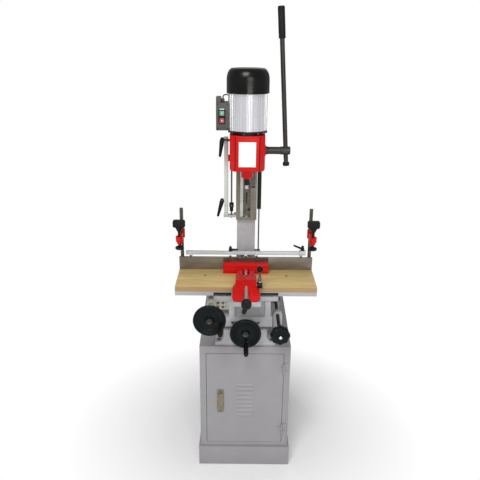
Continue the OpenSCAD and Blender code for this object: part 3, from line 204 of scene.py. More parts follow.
def makeMetal(name, colour, stain, gloss, mark, along, markDepth, cloud, cloudStretch, dark, metallic):
    tree, place = startMaterial(name)
    marks = noiseField(tree, place, mark, along, detail=2)
    clouds = noiseField(tree, place, cloud, cloudStretch, detail=4)
    stained = sumOf(tree, rangeOf(tree, clouds, 0, dark, 0.35, 0.7), rangeOf(tree, marks, -0.1, 0.2))
    closeMaterial(tree, {
        "Base Color": colourMix(tree, stained, colour, stain),
        "Metallic": metallic,
        "Roughness": rangeOf(tree, marks, gloss - 0.05, gloss + 0.08),
        "Normal": bump(tree, marks, markDepth)})


# Moulded plastic and rubber: one even colour, a fine spark-eroded grain and a soft sheen
mouldings = {
    "blackPhenolic": ("#091112", "#0d1617", 0.34, 2.5, 0.02, 0.14),
    "blackNylon": ("#121211", "#1a1a19", 0.4, 1.2, 0.04, 0.18),
    "greySwitchPlastic": ("#464443", "#504e4d", 0.45, 1.2, 0.04, 0.4),
    "greenButtonPlastic": ("#5b9479", "#68a086", 0.3, 3, 0.01, 0.5),
    "redButtonPlastic": ("#a23a4b", "#ad4757", 0.3, 3, 0.01, 0.5),
    "blackRubber": ("#0f1112", "#181a1b", 0.6, 1.5, 0.05, 0.25),
    "whitePlate": ("#f0f0ee", "#ebebe8", 0.35, 40, 0.01, 0.4),
    "blackInk": ("#3a3a3c", "#454547", 0.5, 2, 0.005, 0.4),
}


def makeMoulding(name, colour, worn, gloss, grain, grainDepth, sheen):
    tree, place = startMaterial(name)
    rubbed = noiseField(tree, place, 30)
    closeMaterial(tree, {
        "Base Color": colourMix(tree, rangeOf(tree, rubbed, 0, 1, 0.4, 0.75), colour, worn),
        "Roughness": rangeOf(tree, rubbed, gloss + 0.05, gloss - 0.05),
        "Normal": bump(tree, noiseField(tree, place, grain, detail=2), grainDepth),
        "Specular IOR Level": sheen})


# Pine: staves glued side by side and planed, so each has its own tint and its own run of grain
pineLook = dict(
    staveWidth=46,  # mm, as are the widths of the rings, fibres and knots
    # edge is the sides' darker, warmer colour: end and edge grain, and painted shade
    early="#dac589", late="#c0a266", edge="#957450", gloss=0.42, ring=5.5, ringStretch=22,
    fibre=0.9, fibreStretch=40, knot=55
)


def makePine(name, warm, staveWidth, early, late, edge, gloss, ring, ringStretch, fibre, fibreStretch, knot):
    # warm is how much of the edge's colour shows, from 0 to 1
    tree, place = startMaterial(name)
    axes = addNode(tree, "SeparateXYZ", {"Vector": place})
    stave = addNode(tree, "Math", {0: axes.outputs["Y"], 1: staveWidth * mm}, operation="SNAP")
    tint = addNode(tree, "TexWhiteNoise", {"W": stave.outputs[0]}, noise_dimensions="1D")
    shift = addNode(tree, "VectorMath", {0: tint.outputs["Color"], 1: place}, operation="ADD").outputs[0]
    rings = noiseField(tree, shift, ring, (ringStretch, 1, 1), detail=2)
    fibres = noiseField(tree, shift, fibre, (fibreStretch, 1, 1), detail=2)
    knots = noiseField(tree, shift, knot, (3, 1, 1))
    grain = sumOf(tree, rangeOf(tree, rings, 0, 0.75, 0.42, 0.6), rangeOf(tree, knots, 0, 0.3))
    grained = colourMix(tree, grain, early, late)
    tinted = colourMix(tree, rangeOf(tree, tint.outputs["Value"], 0, 0.35, 0, 1), grained, late)
    closeMaterial(tree, {
        "Base Color": colourMix(tree, warm, tinted, edge),
        "Roughness": rangeOf(tree, fibres, gloss, gloss + 0.1),
        "Normal": bump(tree, fibres, 0.06),
        "IOR": 1.5})


for makeFinish, table in ((makeEnamel, enamels), (makeMetal, metals), (makeMoulding, mouldings)):
    for name, row in table.items():
        makeFinish(name, *row)
makePine("planedPine", 0, **pineLook)
# the sides' copy of the pine: end and edge grain, and painted shade
makePine("pineEdge", 0.75, **pineLook)
print("finishes made:", len(finishes))

# Mesh tools. Every piece is drawn in mm and shrunk to metres at the end.
forward = (0, -1, 0)
upward = (0, 0, 1)


def facing(direction):
    return Vector(upward).rotation_difference(Vector(direction)).to_matrix().to_4x4()


def placed(bm, place=(0, 0, 0), direction=upward, index=0, turn=0):
    spin = Matrix.Rotation(radians(turn), 4, "Z")
    bmesh.ops.transform(bm, matrix=Matrix.Translation(Vector(place)) @ facing(direction) @ spin, verts=bm.verts)
    for face in bm.faces:
        face.material_index = index
    return bm


def easeEdges(bm, width, segments=2, angle=40, where=lambda e: True):
    picked = [e for e in bm.edges if e.is_manifold and e.calc_face_angle(0) > radians(angle) and where(e)]
    bmesh.ops.bevel(bm, geom=picked, offset=width, segments=segments, profile=0.5, affect="EDGES",
                    offset_type="OFFSET", clamp_overlap=True, material=-1)


def arc(centre, radius, start, end, steps=6):
    # points of an arc in a profile: centre is (radius, height), the angles are in degrees
    across, up = radius if isinstance(radius, tuple) else (radius, radius)
    angles = [radians(start + (end - start) * i / steps) for i in range(steps + 1)]
    return [(centre[0] + across * cos(a), centre[1] + up * sin(a)) for a in angles]


def around(turn):
    return Vector((cos(radians(turn)), sin(radians(turn)), 0))


def drum(radius, bottom, top):
    # the profile of a plain cylinder
    return [(0, bottom), (radius, bottom), (radius, top), (0, top)]


def lathe(profile, place=(0, 0, 0), direction=upward, steps=40, index=0):
    # profile is a chain of (radius, height), turned about the height
    bm = bmesh.new()
    verts = [bm.verts.new((radius, 0, height)) for radius, height in profile]
    edges = [bm.edges.new(pair) for pair in zip(verts, verts[1:])]
    whole = verts + edges
    bmesh.ops.spin(bm, geom=whole, cent=(0, 0, 0), axis=upward, angle=2 * pi, steps=steps, use_merge=True)
    bmesh.ops.remove_doubles(bm, verts=bm.verts, dist=0.001)
    return placed(bm, place, direction, index)


def rod(start, end, radius, index=0, ease=0.6, steps=32):
    # a round bar between two points, with its two ends chamfered
    along = Vector(end) - Vector(start)
    length = along.length
    profile = [(0, 0), (radius - ease, 0), (radius, ease), (radius, length - ease), (radius - ease, length)]
    return lathe(profile + [(0, length)], start, along, steps, index)


def taper(start, end, startRadius, endRadius):
    # a round arm that tapers between two balls
    along = Vector(end) - Vector(start)
    lean = degrees(asin((startRadius - endRadius) / along.length))
    profile = arc((0, 0), startRadius, -90, lean, 7) + arc((0, along.length), endRadius, lean, 90, 6)
    return lathe(profile, start, along, 28)


def slab(low, high, ease=0, segments=2, index=0):
    bm = bmesh.new()
    bmesh.ops.create_cube(bm, size=1)
    bmesh.ops.scale(bm, vec=Vector(high) - Vector(low), verts=bm.verts)
    bmesh.ops.translate(bm, vec=(Vector(high) + Vector(low)) / 2, verts=bm.verts)
    if ease:
        easeEdges(bm, ease, segments)
    return placed(bm, index=index)


def hexHead(place, direction, across, height, index=0, turn=0):
    bm = bmesh.new()
    corner = across / sqrt(3)
    bmesh.ops.create_cone(bm, cap_ends=True, segments=6, radius1=corner, radius2=corner, depth=height)
    bmesh.ops.translate(bm, vec=(0, 0, height / 2), verts=bm.verts)
    easeEdges(bm, across * 0.05)
    return placed(bm, place, direction, index, turn)


def capHeads(places, direction, radius, height, index=0):
    # socket screws' heads: a plain round socket stands in for the hexagon
    socket = radius * 0.52
    profile = [(0, -1), (radius, -1), (radius, height * 0.86), (radius * 0.9, height), (socket, height),
               (socket, height * 0.45), (0, height * 0.4)]
    return [lathe(profile, place, direction, 24, index) for place in places]


def tube(points, radius):
    # a round tube along points, with closed ends
    curve = bpy.data.curves.new("path", "CURVE")
    curve.dimensions = "3D"
    curve.bevel_depth = radius
    curve.bevel_resolution = 5
    curve.use_fill_caps = True
    spline = curve.splines.new("POLY")
    spline.points.add(len(points) - 1)
    for knot, point in zip(spline.points, points):
        knot.co = (*point, 1)
    holder = bpy.data.objects.new("path", curve)
    mesh = bpy.data.meshes.new_from_object(holder)
    bm = bmesh.new()
    bm.from_mesh(mesh)
    bpy.data.objects.remove(holder)
    bpy.data.meshes.remove(mesh)
    bmesh.ops.remove_doubles(bm, verts=bm.verts, dist=0.001)
    return bm


def addPiece(name, parts, finish, node, replaced=True, smoothBelow=radians(32)):
    # The piece stands for the CAD node or, with replaced=False, is trim that belongs to it. Edges
    # that turn less than smoothBelow are shaded smooth.
    bm = bmesh.new()
    for part in parts:
        mesh = meshFrom(part, "part")
        bm.from_mesh(mesh)
        bpy.data.meshes.remove(mesh)
    bmesh.ops.recalc_face_normals(bm, faces=bm.faces)
    bmesh.ops.scale(bm, vec=(mm,) * 3, verts=bm.verts)
    for edge in bm.edges:
        edge.smooth = edge.is_manifold and edge.calc_face_angle(0) < smoothBelow
    for face in bm.faces:
        face.smooth = True
    mesh = meshFrom(bm, name)
    for one in finish.split():
        mesh.materials.append(finishes[one])
    piece = addObject(name, mesh)
    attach(piece, bodyOf[node])
    if replaced:
        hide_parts(node)
    return piece


def addTrim(name, parts, finish, node):
    addPiece(name, parts, finish, node, replaced=False)


def solidCopy(node):
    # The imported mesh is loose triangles: they are merged, and flat neighbours become one face
    bm = bmesh.new()
    bm.from_mesh(frame["nodes"][node].data)
    bmesh.ops.scale(bm, vec=(1 / mm,) * 3, verts=bm.verts)
    bmesh.ops.remove_doubles(bm, verts=bm.verts, dist=0.004)
    bmesh.ops.dissolve_limit(bm, angle_limit=radians(0.6), verts=bm.verts, edges=bm.edges)
    return bm


# Castings and sheet work keep the solid's shape and get eased edges: the radius in mm, the finish
easedNodes = {
    "plinth": (1.2, "greySheetEnamel"),
    "cabinet_shell": (0.8, "greySheetEnamel"),
    "base_casting": (3, "greyCastEnamel"),
    "saddle_casting": (2.5, "greyCastEnamel"),
    "table_plate": (1.5, "greyCastEnamel"),
    "depth_bracket": (1.5, "greyCastEnamel"),
    "feed_bracket": (2, "beigeCastEnamel"),
    "head_casting": (2.5, "redCastEnamel"),
    "vise_body": (3, "redCastEnamel"),
    "fence": (0.6, "milledFenceIron"),
    "motor_flange": (1.5, "blackGlossEnamel"),
    "stop_rail": (0.8, "anodisedAluminium"),
    "rail_stop": (0.8, "anodisedAluminium"),
}

# The recess under the board's front edge gets painted shade on its floor: how far back its floor is, and half its
# length
recessLook = dict(back=-244, half=129)

# The vise housing drops to a low guide over the jaw's neck
guideLook = dict(
    step=-262,  # where it drops
    roof=877,  # what is above this moves down
    oldCeiling=880.2, ceiling=874.2, top=878,
    end=8,  # depth of the back end, which moves to "back"
    back=-195, ease=0.7
)


def paintRecessShade(bm, back, half):
    for face in bm.faces:
        middle = face.calc_center_median()
        if abs(middle.y - back) < 1 and abs(middle.x) < half:
            face.material_index = 1


def lowerGuide(bm, step, roof, oldCeiling, ceiling, top, end, back, ease):
    high = boxOf("vise_body")[1]
    for cut in (step, step + 1):
        whole = [*bm.verts, *bm.edges, *bm.faces]
        bmesh.ops.bisect_plane(bm, geom=whole, plane_co=(0, cut, 0), plane_no=(0, 1, 0), dist=0.001)
    thin = (top - ceiling) / (high.z - oldCeiling)
    for vert in bm.verts:
        if vert.co.y > step + 0.5 and vert.co.z > roof:
            vert.co.z = ceiling + (vert.co.z - oldCeiling) * thin
        if vert.co.y > high.y - end:
            vert.co.y += back - high.y
    easeEdges(bm, ease, where=lambda e: all(abs(v.co.y - step) < 0.01 and v.co.z > high.z - 1 for v in e.verts))


for node, (width, finish) in easedNodes.items():
    casting = solidCopy(node)
    easeEdges(casting, width)
    if node == "vise_body":
        lowerGuide(casting, **guideLook)
    if node == "table_plate":
        # painted shade on the floor of the recess under the board
        paintRecessShade(casting, **recessLook)
        finish += " shadowPaint"
    addPiece(node + "_eased", [casting], finish, node)
print("castings eased:", len(easedNodes))

# Turned, cut and folded parts that keep the CAD mesh as it is
keptNodes = {
    "greySheetEnamel": "door_hinges cabinet_door",
    "satinNickel": "latch_handle",
    # the tilt shaft's blackened steel is partly painted shade under the table
    "blackenedSteel": "pivot_bolt tilt_pinion_shaft",
    "groundColumnIron": "column_rack",
    "oiledGearSteel": "tilt_sector drill_chuck",
    "scaleAluminium": "scale_bar",
    "postSteel": "stop_rod spring_rod hold_down_posts",
    "blackSatinEnamel": "spring_cylinder",
    "extrudedAluminium": "motor_body",
    "turnedSteel": "motor_rotor auger_bit feed_pinion_shaft cross_screw feed_shaft",
}

for finish, nodes in keptNodes.items():
    for node in nodes.split():
        for slot in frame["nodes"][node].material_slots:
            slot.material = finishes[finish]
print("kept nodes finished")

# Column: painted foot, then a ground dovetail way whose recess floor is painted dark as shade and whose ramps are
# painted bright as a highlight
columnLook = dict(
    footTop=1056.5,  # height of the painted foot's upper edge
    recessBack=5,  # how far behind the front face the recess floor starts
    rampBack=8,  # how far behind it the ramps end
    screwBack=6, screwRadius=5.5, screws=[(11, 1099), (3, 1070)]
)


def makeColumn(footTop, recessBack, rampBack, screwBack, screwRadius, screws):
    bm = solidCopy("column")
    front = boxOf("column")[0].y
    for face in bm.faces:
        middle = face.calc_center_median()
        if middle.z < footTop:
            face.material_index = 1
        # painted shade: darker oiled steel on the recess floor
        elif face.normal.y < -0.9 and middle.y > front + recessBack:
            face.material_index = 2
        # painted highlight: bright turned steel on the ramps
        elif -0.9 < face.normal.y < -0.1 and abs(face.normal.z) < 0.1 and middle.y < front + rampBack:
            face.material_index = 3
    heads = capHeads([(x, front + screwBack, z) for x, z in screws], forward, screwRadius, 3, 4)
    addPiece("column_way", [bm] + heads,
             "groundColumnIron greyCastEnamel oiledGearSteel turnedSteel blackenedSteel", "column")


makeColumn(**columnLook)
print("column made")

# Handwheels: dished disc with a round rim, a hub behind, a nut in front and the grip's pin
wheelLook = dict(
    rimDepth=12,  # radial width of the rim
    front=8, back=-7,  # the rim's two faces
    dish=39,  # radius of the step inside the web
    hub=16.5, hubFront=12, hubBack=-17, boreEnd=8, pinBoss=9, pinRadius=4, nutAcross=14.5, nutHeight=5
)


def makeWheel(name, bore, rimDepth, front, back, dish, hub, hubFront, hubBack, boreEnd, pinBoss,
              pinRadius, nutAcross, nutHeight):
    low, high, centre = boxOf(name + "_wheel")
    grip = boxOf(name + "_grip")[2]
    centre.y = high.y + hubBack
    rim = (high.x - low.x) / 2
    inner = rim - rimDepth
    profile = [(0, boreEnd), (bore, boreEnd), (bore, hubBack), (hub - 2.5, hubBack)]
    profile += arc((hub - 2.5, hubBack + 2), 2, -90, 0, 3) + [(hub, -6), (hub + 6, -4), (inner - 4, -2.6)]
    profile += [(inner, back + 1.5)] + arc((inner + 2, back + 2), 2, -180, -90, 3)
    profile += arc((rim - 5, back + 5), 5, -90, 0) + arc((rim - 5, front - 5), 5, 0, 90)
    profile += arc((inner + 2.5, front - 2.5), 2.5, 90, 180, 4) + [(inner - 2, 4.2), (inner - 6, 3.4)]
    profile += [(dish + 1.5, 3), (dish, 2.4), (dish - 1.5, 0.6), (hub + 8, 0.4), (hub + 2, 1.6), (hub, 4)]
    profile += arc((hub - 2.5, hubFront - 2), (2.2, 2), 0, 90, 3) + [(0, hubFront)]
    hubFace = centre.y - hubFront
    washer = [(0, -0.5), (10.2, -0.5), (10.2, 1), (9.4, 1.6), (0, 1.6)]
    stud = [(0, 0), (4.6, 0), (4.6, 1.4), (4, 2), (0, 2)]
    parts = [
        lathe(profile, centre, forward, 96),
        lathe([(0, 0), (pinBoss, 0), (pinBoss - 1, 8), (0, 8)], (grip.x, centre.y - 0.4, grip.z), forward, 28),
        rod((grip.x, centre.y - 3, grip.z), (grip.x, low.y, grip.z), pinRadius, 1),
        lathe(washer, (centre.x, hubFace, centre.z), forward, 36, 2),
        hexHead((centre.x, hubFace - 1.5, centre.z), forward, nutAcross, nutHeight, 3, 12),
        lathe(stud, (centre.x, hubFace - nutHeight - 1.4, centre.z), forward, 24, 2),
    ]
    addPiece(name + "_wheel_turned", parts, "blackPhenolic satinNickel postSteel blackenedSteel", name + "_wheel")


# plug is what stays closed of the grip's front end
gripLook = dict(bore=4.35, plug=9, neck=6.4, collar=7.4, belly=10)


def makeGrip(node, bore, plug, neck, collar, belly):
    low, high, centre = boxOf(node)
    length = high.y - low.y
    profile = [(0, length - plug), (bore, length - plug), (bore, 0), (collar - 0.8, 0), (collar, 0.8)]
    profile += [(collar, 4.5), (neck, 6.5), (neck, 8), (collar, 11), (8.6, 17), (9.4, 26), (9.9, 38), (belly, 50)]
    profile += arc((3.4, length - 16), (belly - 3.4, 16), 0, 80, 8)
    profile += [(3.2, length), (2.8, length - 1.6), (0, length - 1.6)]
    addPiece(node + "_turned", [lathe(profile, (centre.x, high.y, centre.z), forward)], "blackNylon", node)


for name, bore in (("cross", 8), ("feed", 7.5)):
    makeWheel(name, bore, **wheelLook)
    makeGrip(name + "_grip", **gripLook)
print("handwheels and grips made")

# Tilt knob: eight soft lobes that fade toward the hub, and a bright cap screw in front
knobLook = dict(
    lobes=8,
    swell=0.085,  # how far the lobes stand out, as a share of the radius
    bore=7.5, boreEnd=40, hub=16, capRadius=7
)


def makeTiltKnob(lobes, swell, bore, boreEnd, hub, capRadius):
    low, high, centre = boxOf("tilt_knob")
    rim = (high.x - low.x) / 2
    waist = rim * (1 - swell)
    depth = high.y - low.y
    profile = [(0, boreEnd), (bore, boreEnd), (bore, 0), (hub - 1, 0), (hub, 1), (hub, 11), (hub + 4, 13)]
    profile += [(waist - 9, 13)] + arc((waist - 8, 21), 8, -90, 0) + arc((waist - 11, depth - 17), 11, 0, 80, 8)
    profile += [(hub + 6, depth - 5.4), (hub - 1, depth - 4.8), (hub - 3, depth - 4), (hub - 4.5, depth - 0.8)]
    profile += [(hub - 6, depth), (capRadius + 1, depth), (capRadius + 0.6, depth - 1.5), (0, depth - 1.5)]
    knob = lathe(profile, steps=128)
    for vert in knob.verts:
        radius = hypot(vert.co.x, vert.co.y)
        reach = max(0, min(1, (radius - hub - 4) / (waist - hub - 10)))
        wave = cos(lobes * atan2(vert.co.y, vert.co.x))
        grow = 1 + swell * reach * (0.5 + 0.5 * wave) * rim / waist
        vert.co.xy *= grow
    placed(knob, (centre.x, high.y, centre.z), forward)
    profile = [(0, 0), (capRadius, 0)] + arc((capRadius - 3, 0.6), 3, 0, 90, 5) + [(0, 4)]
    cap = lathe(profile, (centre.x, low.y + 1.6, centre.z), forward, 32, 1)
    addPiece("tilt_knob_moulded", [knob, cap], "blackPhenolic brightChrome", "tilt_knob")


makeTiltKnob(**knobLook)
print("tilt knob made")

# Motor: deep-drawn fan cover with a rolled edge, ring-shaped vents on top and four side screws
coverLook = dict(
    lip=6, side=41, shoulder=(23, 42), wall=2.5, screwTurns=[40, 130, 220, 310],
    vents=[(18, 21), (27, 30), (36, 39), (45, 48)]  # the rings' radii
)


def makeFanCover(lip, side, shoulder, wall, screwTurns, vents):
    low, high, centre = boxOf("fan_cover")
    outer = (high.x - low.x) / 2
    across, up = shoulder
    top = high.z - low.z - lip
    inner = outer - wall
    profile = [(inner, -lip), (outer - 0.2, -lip)] + arc((outer - 0.4, -lip + 1.4), 1.4, -70, 70, 5)
    profile += [(outer, -lip + 3.4), (outer, side)] + arc((outer - across, side), (across, up), 4, 90, 16)
    for inside, outside in reversed(vents):
        profile += [(outside + 0.8, top), (outside, top - 1.5), (inside, top - 1.5), (inside - 0.8, top)]
    profile += [(0, top), (0, top - wall - 2)] + arc((inner - across, side - 2), (across, up - wall), 90, 0, 10)
    base = Vector((centre.x, centre.y, low.z + lip))
    parts = [lathe(profile + [(inner, -lip)], base, steps=112)]
    for turn in screwTurns:
        way = around(turn)
        parts += capHeads([base + way * (outer - 0.4) + Vector((0, 0, -2))], way, 4.2, 2.6)
    addPiece("fan_cover_drawn", parts, "blackGlossEnamel", "fan_cover")


makeFanCover(**coverLook)

flangeBoltLook = dict(circle=69, first=-101, step=45, count=8, across=10, height=5, seat=10.2)


def makeFlangeBolts(circle, first, step, count, across, height, seat):
    low, _, centre = boxOf("motor_flange")
    base = Vector((centre.x, centre.y, low.z + seat))
    turns = range(first, first + count * step, step)
    heads = [hexHead(base + circle * around(turn), (0, 0, -1), across, height, 0, turn) for turn in turns]
    addTrim("motor_flange_bolts", heads, "oiledGearSteel", "motor_flange")


makeFlangeBolts(**flangeBoltLook)
print("fan cover and flange bolts made")

# Head: a pad proud of the front with a thin strip of painted shade along each side, and a bare label plate with
# four rivets
padLook = dict(half=44.5, bottom=1296, margin=2, proud=2.5, ease=1.2, shadeStripWidth=3)
labelLook = dict(x=(-32.5, 32), z=(1312.5, 1406), thick=0.8, rivet=1.6, inset=4)


def makeFrontPad(half, bottom, margin, proud, ease, shadeStripWidth):
    low, high, _ = boxOf("head_casting")
    face, top = low.y - proud, high.z - margin
    parts = [slab((-half, face, bottom), (half, low.y + 1, top), ease)]
    for side in (-1, 1):
        left, right = sorted((side * half, side * (half + shadeStripWidth)))
        # each side strip is dark red laid almost flush on the face: painted shade along the pad's edge
        parts.append(slab((left, low.y - 0.15, bottom), (right, low.y + 1, top), index=1))
    addTrim("head_front_pad", parts, "redCastEnamel shadowRedEnamel", "head_casting")
    return face


def makeLabel(face, x, z, thick, rivet, inset):
    front = face - thick
    plate = slab((x[0], front, z[0]), (x[1], face + 0.2, z[1]), 0.3, 1)
    rivets = [(a, front + 0.2, b) for a in (x[0] + inset, x[1] - inset) for b in (z[0] + inset, z[1] - inset)]
    plate = [plate] + capHeads(rivets, forward, rivet, 0.6, 1)
    addTrim("label_plate", plate, "whitePlate turnedSteel", "head_casting")


makeLabel(makeFrontPad(**padLook), **labelLook)
print("front pad and label plate made")

# Switch box: rounded moulding with a cover seam, a bezel round the buttons, a light bar above them that is a
# painted highlight, and ribbed glands
switchLook = dict(
    bodyTop=1547, ease=4,
    longEdge=30,  # only edges longer than this are eased
    seam=14,  # depth of the cover behind the front
    bezel=3.2, bezelDepth=0.8,
    gap=0.6,  # round the buttons
    barHeight=4, ribs=5, glandRadius=6.2, leadRadius=2.25, screwInset=6
)


def ribbedGland(place, height, ribs, radius):
    pitch = height / ribs
    profile = [(0, 0), (radius, 0)]
    for rib in range(ribs):
        z = rib * pitch
        profile += [(radius, z + pitch * 0.55), (radius - 1.3, z + pitch * 0.65), (radius - 1.3, z + pitch * 0.9),
                    (radius, z + pitch)]
        radius -= 0.25
    return lathe(profile[:-1] + [(0, height)], place, steps=28, index=1)


def makeSwitchBox(bodyTop, ease, longEdge, seam, bezel, bezelDepth, gap, barHeight, ribs, glandRadius,
                  leadRadius, screwInset):
    low, high, centre = boxOf("switch_box")
    green, red = boxOf("start_button"), boxOf("stop_button")
    leadX = boxOf("motor_lead")[0].x + leadRadius
    front = low.y
    bm = solidCopy("switch_box")
    easeEdges(bm, ease, 3, where=lambda e: e.calc_length() > longEdge)
    x0, x1 = green[0].x - gap, green[1].x + gap
    z0, z1 = red[0].z - gap, green[1].z + gap
    bars = [((x0 - bezel, z0 - bezel), (x0, z1 + bezel)), ((x1, z0 - bezel), (x1 + bezel, z1 + bezel)),
            ((x0, z0 - bezel), (x1, z0)), ((x0, red[1].z + gap), (x1, green[0].z - gap)),
            ((x0, z1), (x1, z1 + bezel))]
    parts = [bm] + [slab((left, front - bezelDepth, bottom), (right, front + 0.2, top), 0.3, 1, 1)
                    for (left, bottom), (right, top) in bars]
    band = slab((low.x - 0.35, front + seam, low.z - 0.35), (high.x + 0.35, front + seam + 1.2, bodyTop + 0.35))
    easeEdges(band, ease, 3, where=lambda e: e.calc_length() < 2)
    # painted highlight: a light aluminium bar over the bezel
    bar = slab((x0 + 1, front - 1.4, z1 + bezel), (x1 - 1, front + 0.2, z1 + bezel + barHeight), 0.4, 1, 2)
    parts += [placed(band, index=1), bar]
    parts += [ribbedGland((leadX, y, bodyTop - 0.2), height, ribs, glandRadius)
              for y, height in ((centre.y + 9.5, 7), (front + 16, 14))]
    corners = [(x, front + 0.2, z) for z in (low.z + screwInset, bodyTop - screwInset)
               for x in (low.x + screwInset, high.x - screwInset)]
    addPiece("switch_box_moulded", parts + capHeads(corners, forward, 2.4, 0.8, 1),
             "greySwitchPlastic blackNylon anodisedAluminium", "switch_box")


makeSwitchBox(**switchLook)

# Each button's face carries a white ring, a painted highlight
buttonLook = dict(ease=1.8, ring=2.4)


def makeButton(node, finish, ease, ring):
    low, high, centre = boxOf(node)
    profile = [(0, 0), (ring, 0), (ring - 0.4, 0.4), (0, 0.4)]
    # the white ring: a painted highlight
    mark = lathe(profile, (centre.x, low.y + 0.1, centre.z), forward, 28, 1)
    addPiece(node + "_moulded", [slab(low, high, ease, 3), mark], finish + " whitePlate", node)


makeButton("start_button", "greenButtonPlastic", **buttonLook)
makeButton("stop_button", "redButtonPlastic", **buttonLook)
print("switch box and buttons made")

# Motor lead: the whole short lead between the box's gland and the motor's, with one bend
leadLook = dict(radius=2.25, bend=9, rise=9, run=8, bendSteps=10)


def makeLead(radius, bend, rise, run, bendSteps):
    low, _, centre = boxOf("motor_lead")
    x, y = low.x + radius, centre.y
    start = Vector((x, y, low.z))
    corner = Vector((x + bend, y, low.z + rise))
    points = [start]
    for step in range(bendSteps + 1):
        angle = pi - pi / 2 * step / bendSteps
        points.append(corner + bend * Vector((cos(angle), 0, sin(angle))))
    points.append(points[-1] + Vector((run, 0, 0)))
    lead = addPiece("motor_lead_drawn", [tube(points, radius)], "blackRubber", "motor_lead")


makeLead(**leadLook)
print("motor lead made")

# Clamp levers: a hub on a stud along X, and a fat teardrop of a handle
clampLook = dict(hub=11, hubLength=14, stud=5, thick=9.5, thin=5)

# Rows: where the stud starts and the hub, both in X, then Y, Z, and the handle's reach out and down
clampPlaces = {
    "stop_lock_lever": (-84, -94, -16, 1134, 16, 63),
    "head_lock_lever": (-47, -91, -71, 1395, 8, 62),
}


def makeClampLever(node, seat, x, y, z, out, drop, hub, hubLength, stud, thick, thin):
    profile = [(0, 0), (hub - 1.5, 0)] + arc((hub - 1.5, 1.5), 1.5, -90, 0, 3)
    profile += arc((hub - 3.5, hubLength - 3.5), 3.5, 0, 90, 5)
    profile += [(4, hubLength), (3.4, hubLength - 1.2), (0, hubLength - 1.2)]
    parts = [
        rod((seat, y, z), (x - 2, y, z), stud, 1),
        lathe(profile, (x, y, z), (-1, 0, 0)),
        taper((x - 8, y, z - 3), (x - 8 - out, y, z - drop), thick, thin),
    ]
    addPiece(node + "_moulded", parts, "blackNylon postSteel", node)


for node, row in clampPlaces.items():
    makeClampLever(node, *row, **clampLook)

railLeverLook = dict(stud=4, base=7, tip=4.2, thick=4.8, thin=3.8)

# Rows: X, Y, Z, how far the stud goes down, and how far the arm reaches along X and rises
railLeverPlaces = {
    "rail_lever_left": (-65, -51, 925, 9, 28, 0),
    "rail_lever_right": (239, -51, 930, 4, -36, 15),
}


def makeRailLever(node, x, y, z, down, reach, rise, stud, base, tip, thick, thin):
    profile = [(0, 0), (base - 0.6, 0), (base, 0.6), (base, 11), (base - 0.6, 12.4), (tip + 0.6, 20)]
    profile += arc((tip - 0.8, 20), 1.2, 0, 90, 3) + [(0, 21.2)]
    hub = lathe(profile, (x, y, z + 0.3), steps=32)
    arm = taper((x, y, z + 7), (x + reach, y, z + 7 + rise), thick, thin)
    pin = rod((x, y, z - down), (x, y, z + 2), stud, 1)
    addPiece(node + "_moulded", [hub, arm, pin], "blackNylon postSteel", node)


for node, row in railLeverPlaces.items():
    makeRailLever(node, *row, **railLeverLook)
print("clamp levers made")

# Depth gauge: stepped collar with a knurled thumbscrew, and graduations on the scale's face
collarLook = dict(
    x=-61.5, y=-22,
    small=7.5,  # radius under the step, and above it
    large=9.5, step=17, bore=3.6, screwHeight=26, screw=3, knurl=4.4
)


def makeStopCollar(x, y, small, large, step, bore, screwHeight, screw, knurl):
    low, high, _ = boxOf("stop_collar")
    height = high.z - low.z
    profile = [(bore, 0), (small - 1, 0), (small, 1), (small, 5), (small - 0.8, 5.6), (small - 0.8, 6.8),
               (small, 7.4), (small, step), (large - 1, step + 0.5), (large, step + 1.5), (large, height - 8),
               (large - 0.8, height - 7.4), (large - 0.8, height - 5.8), (large, height - 5.2),
               (large, height - 1.2), (large - 1.2, height), (bore, height), (bore, 0)]
    thumb = lathe([(0, 0), (screw, 0), (screw, 5), (knurl, 5.4), (knurl, 8.4), (knurl - 0.6, 9), (0, 9)],
                  (x, y - bore - 0.4, low.z + screwHeight), forward, 20, 1)
    addPiece("stop_collar_turned", [lathe(profile, (x, y, low.z)), thumb], "blackNylon postSteel", "stop_collar")


makeStopCollar(**collarLook)

scaleLook = dict(pitch=5, short=4.5, long=8, line=0.7, depth=0.15, margin=8)


def makeScaleMarks(pitch, short, long, line, depth, margin):
    low, high, _ = boxOf("scale_bar")

    def mark(reach, bottom, top):
        return slab((high.x - reach, low.y - depth, bottom), (high.x - 0.5, low.y + 0.1, top))

    marks = [mark(1.2, low.z + 2, high.z - 2)]
    for step in range(int((high.z - low.z - 2 * margin) / pitch) + 1):
        z = low.z + margin + step * pitch
        marks.append(mark(short if step % 2 else long, z, z + line))
    addTrim("scale_graduations", marks, "blackInk", "scale_bar")


makeScaleMarks(**scaleLook)
print("depth gauge made")

# Hollow chisel: collars under the nose, the lowest of them bright turned steel that is partly a painted highlight,
# and a ground square shank whose chip window is a flat dark slab of painted shade
chiselLook = dict(
    nose=36,  # length hidden in the nose; the heights below are from its end
    shank=12.7,
    # the lowest collar's bright steel is partly a painted highlight
    collars=[(36, -12, 1), (-12, -25, 1), (-25, -40, 2)],  # top, bottom, finish
    windowHalf=2.6, window=(-52, -96), screwHeight=-33, screwRadius=3.4, screwReach=3.7
)


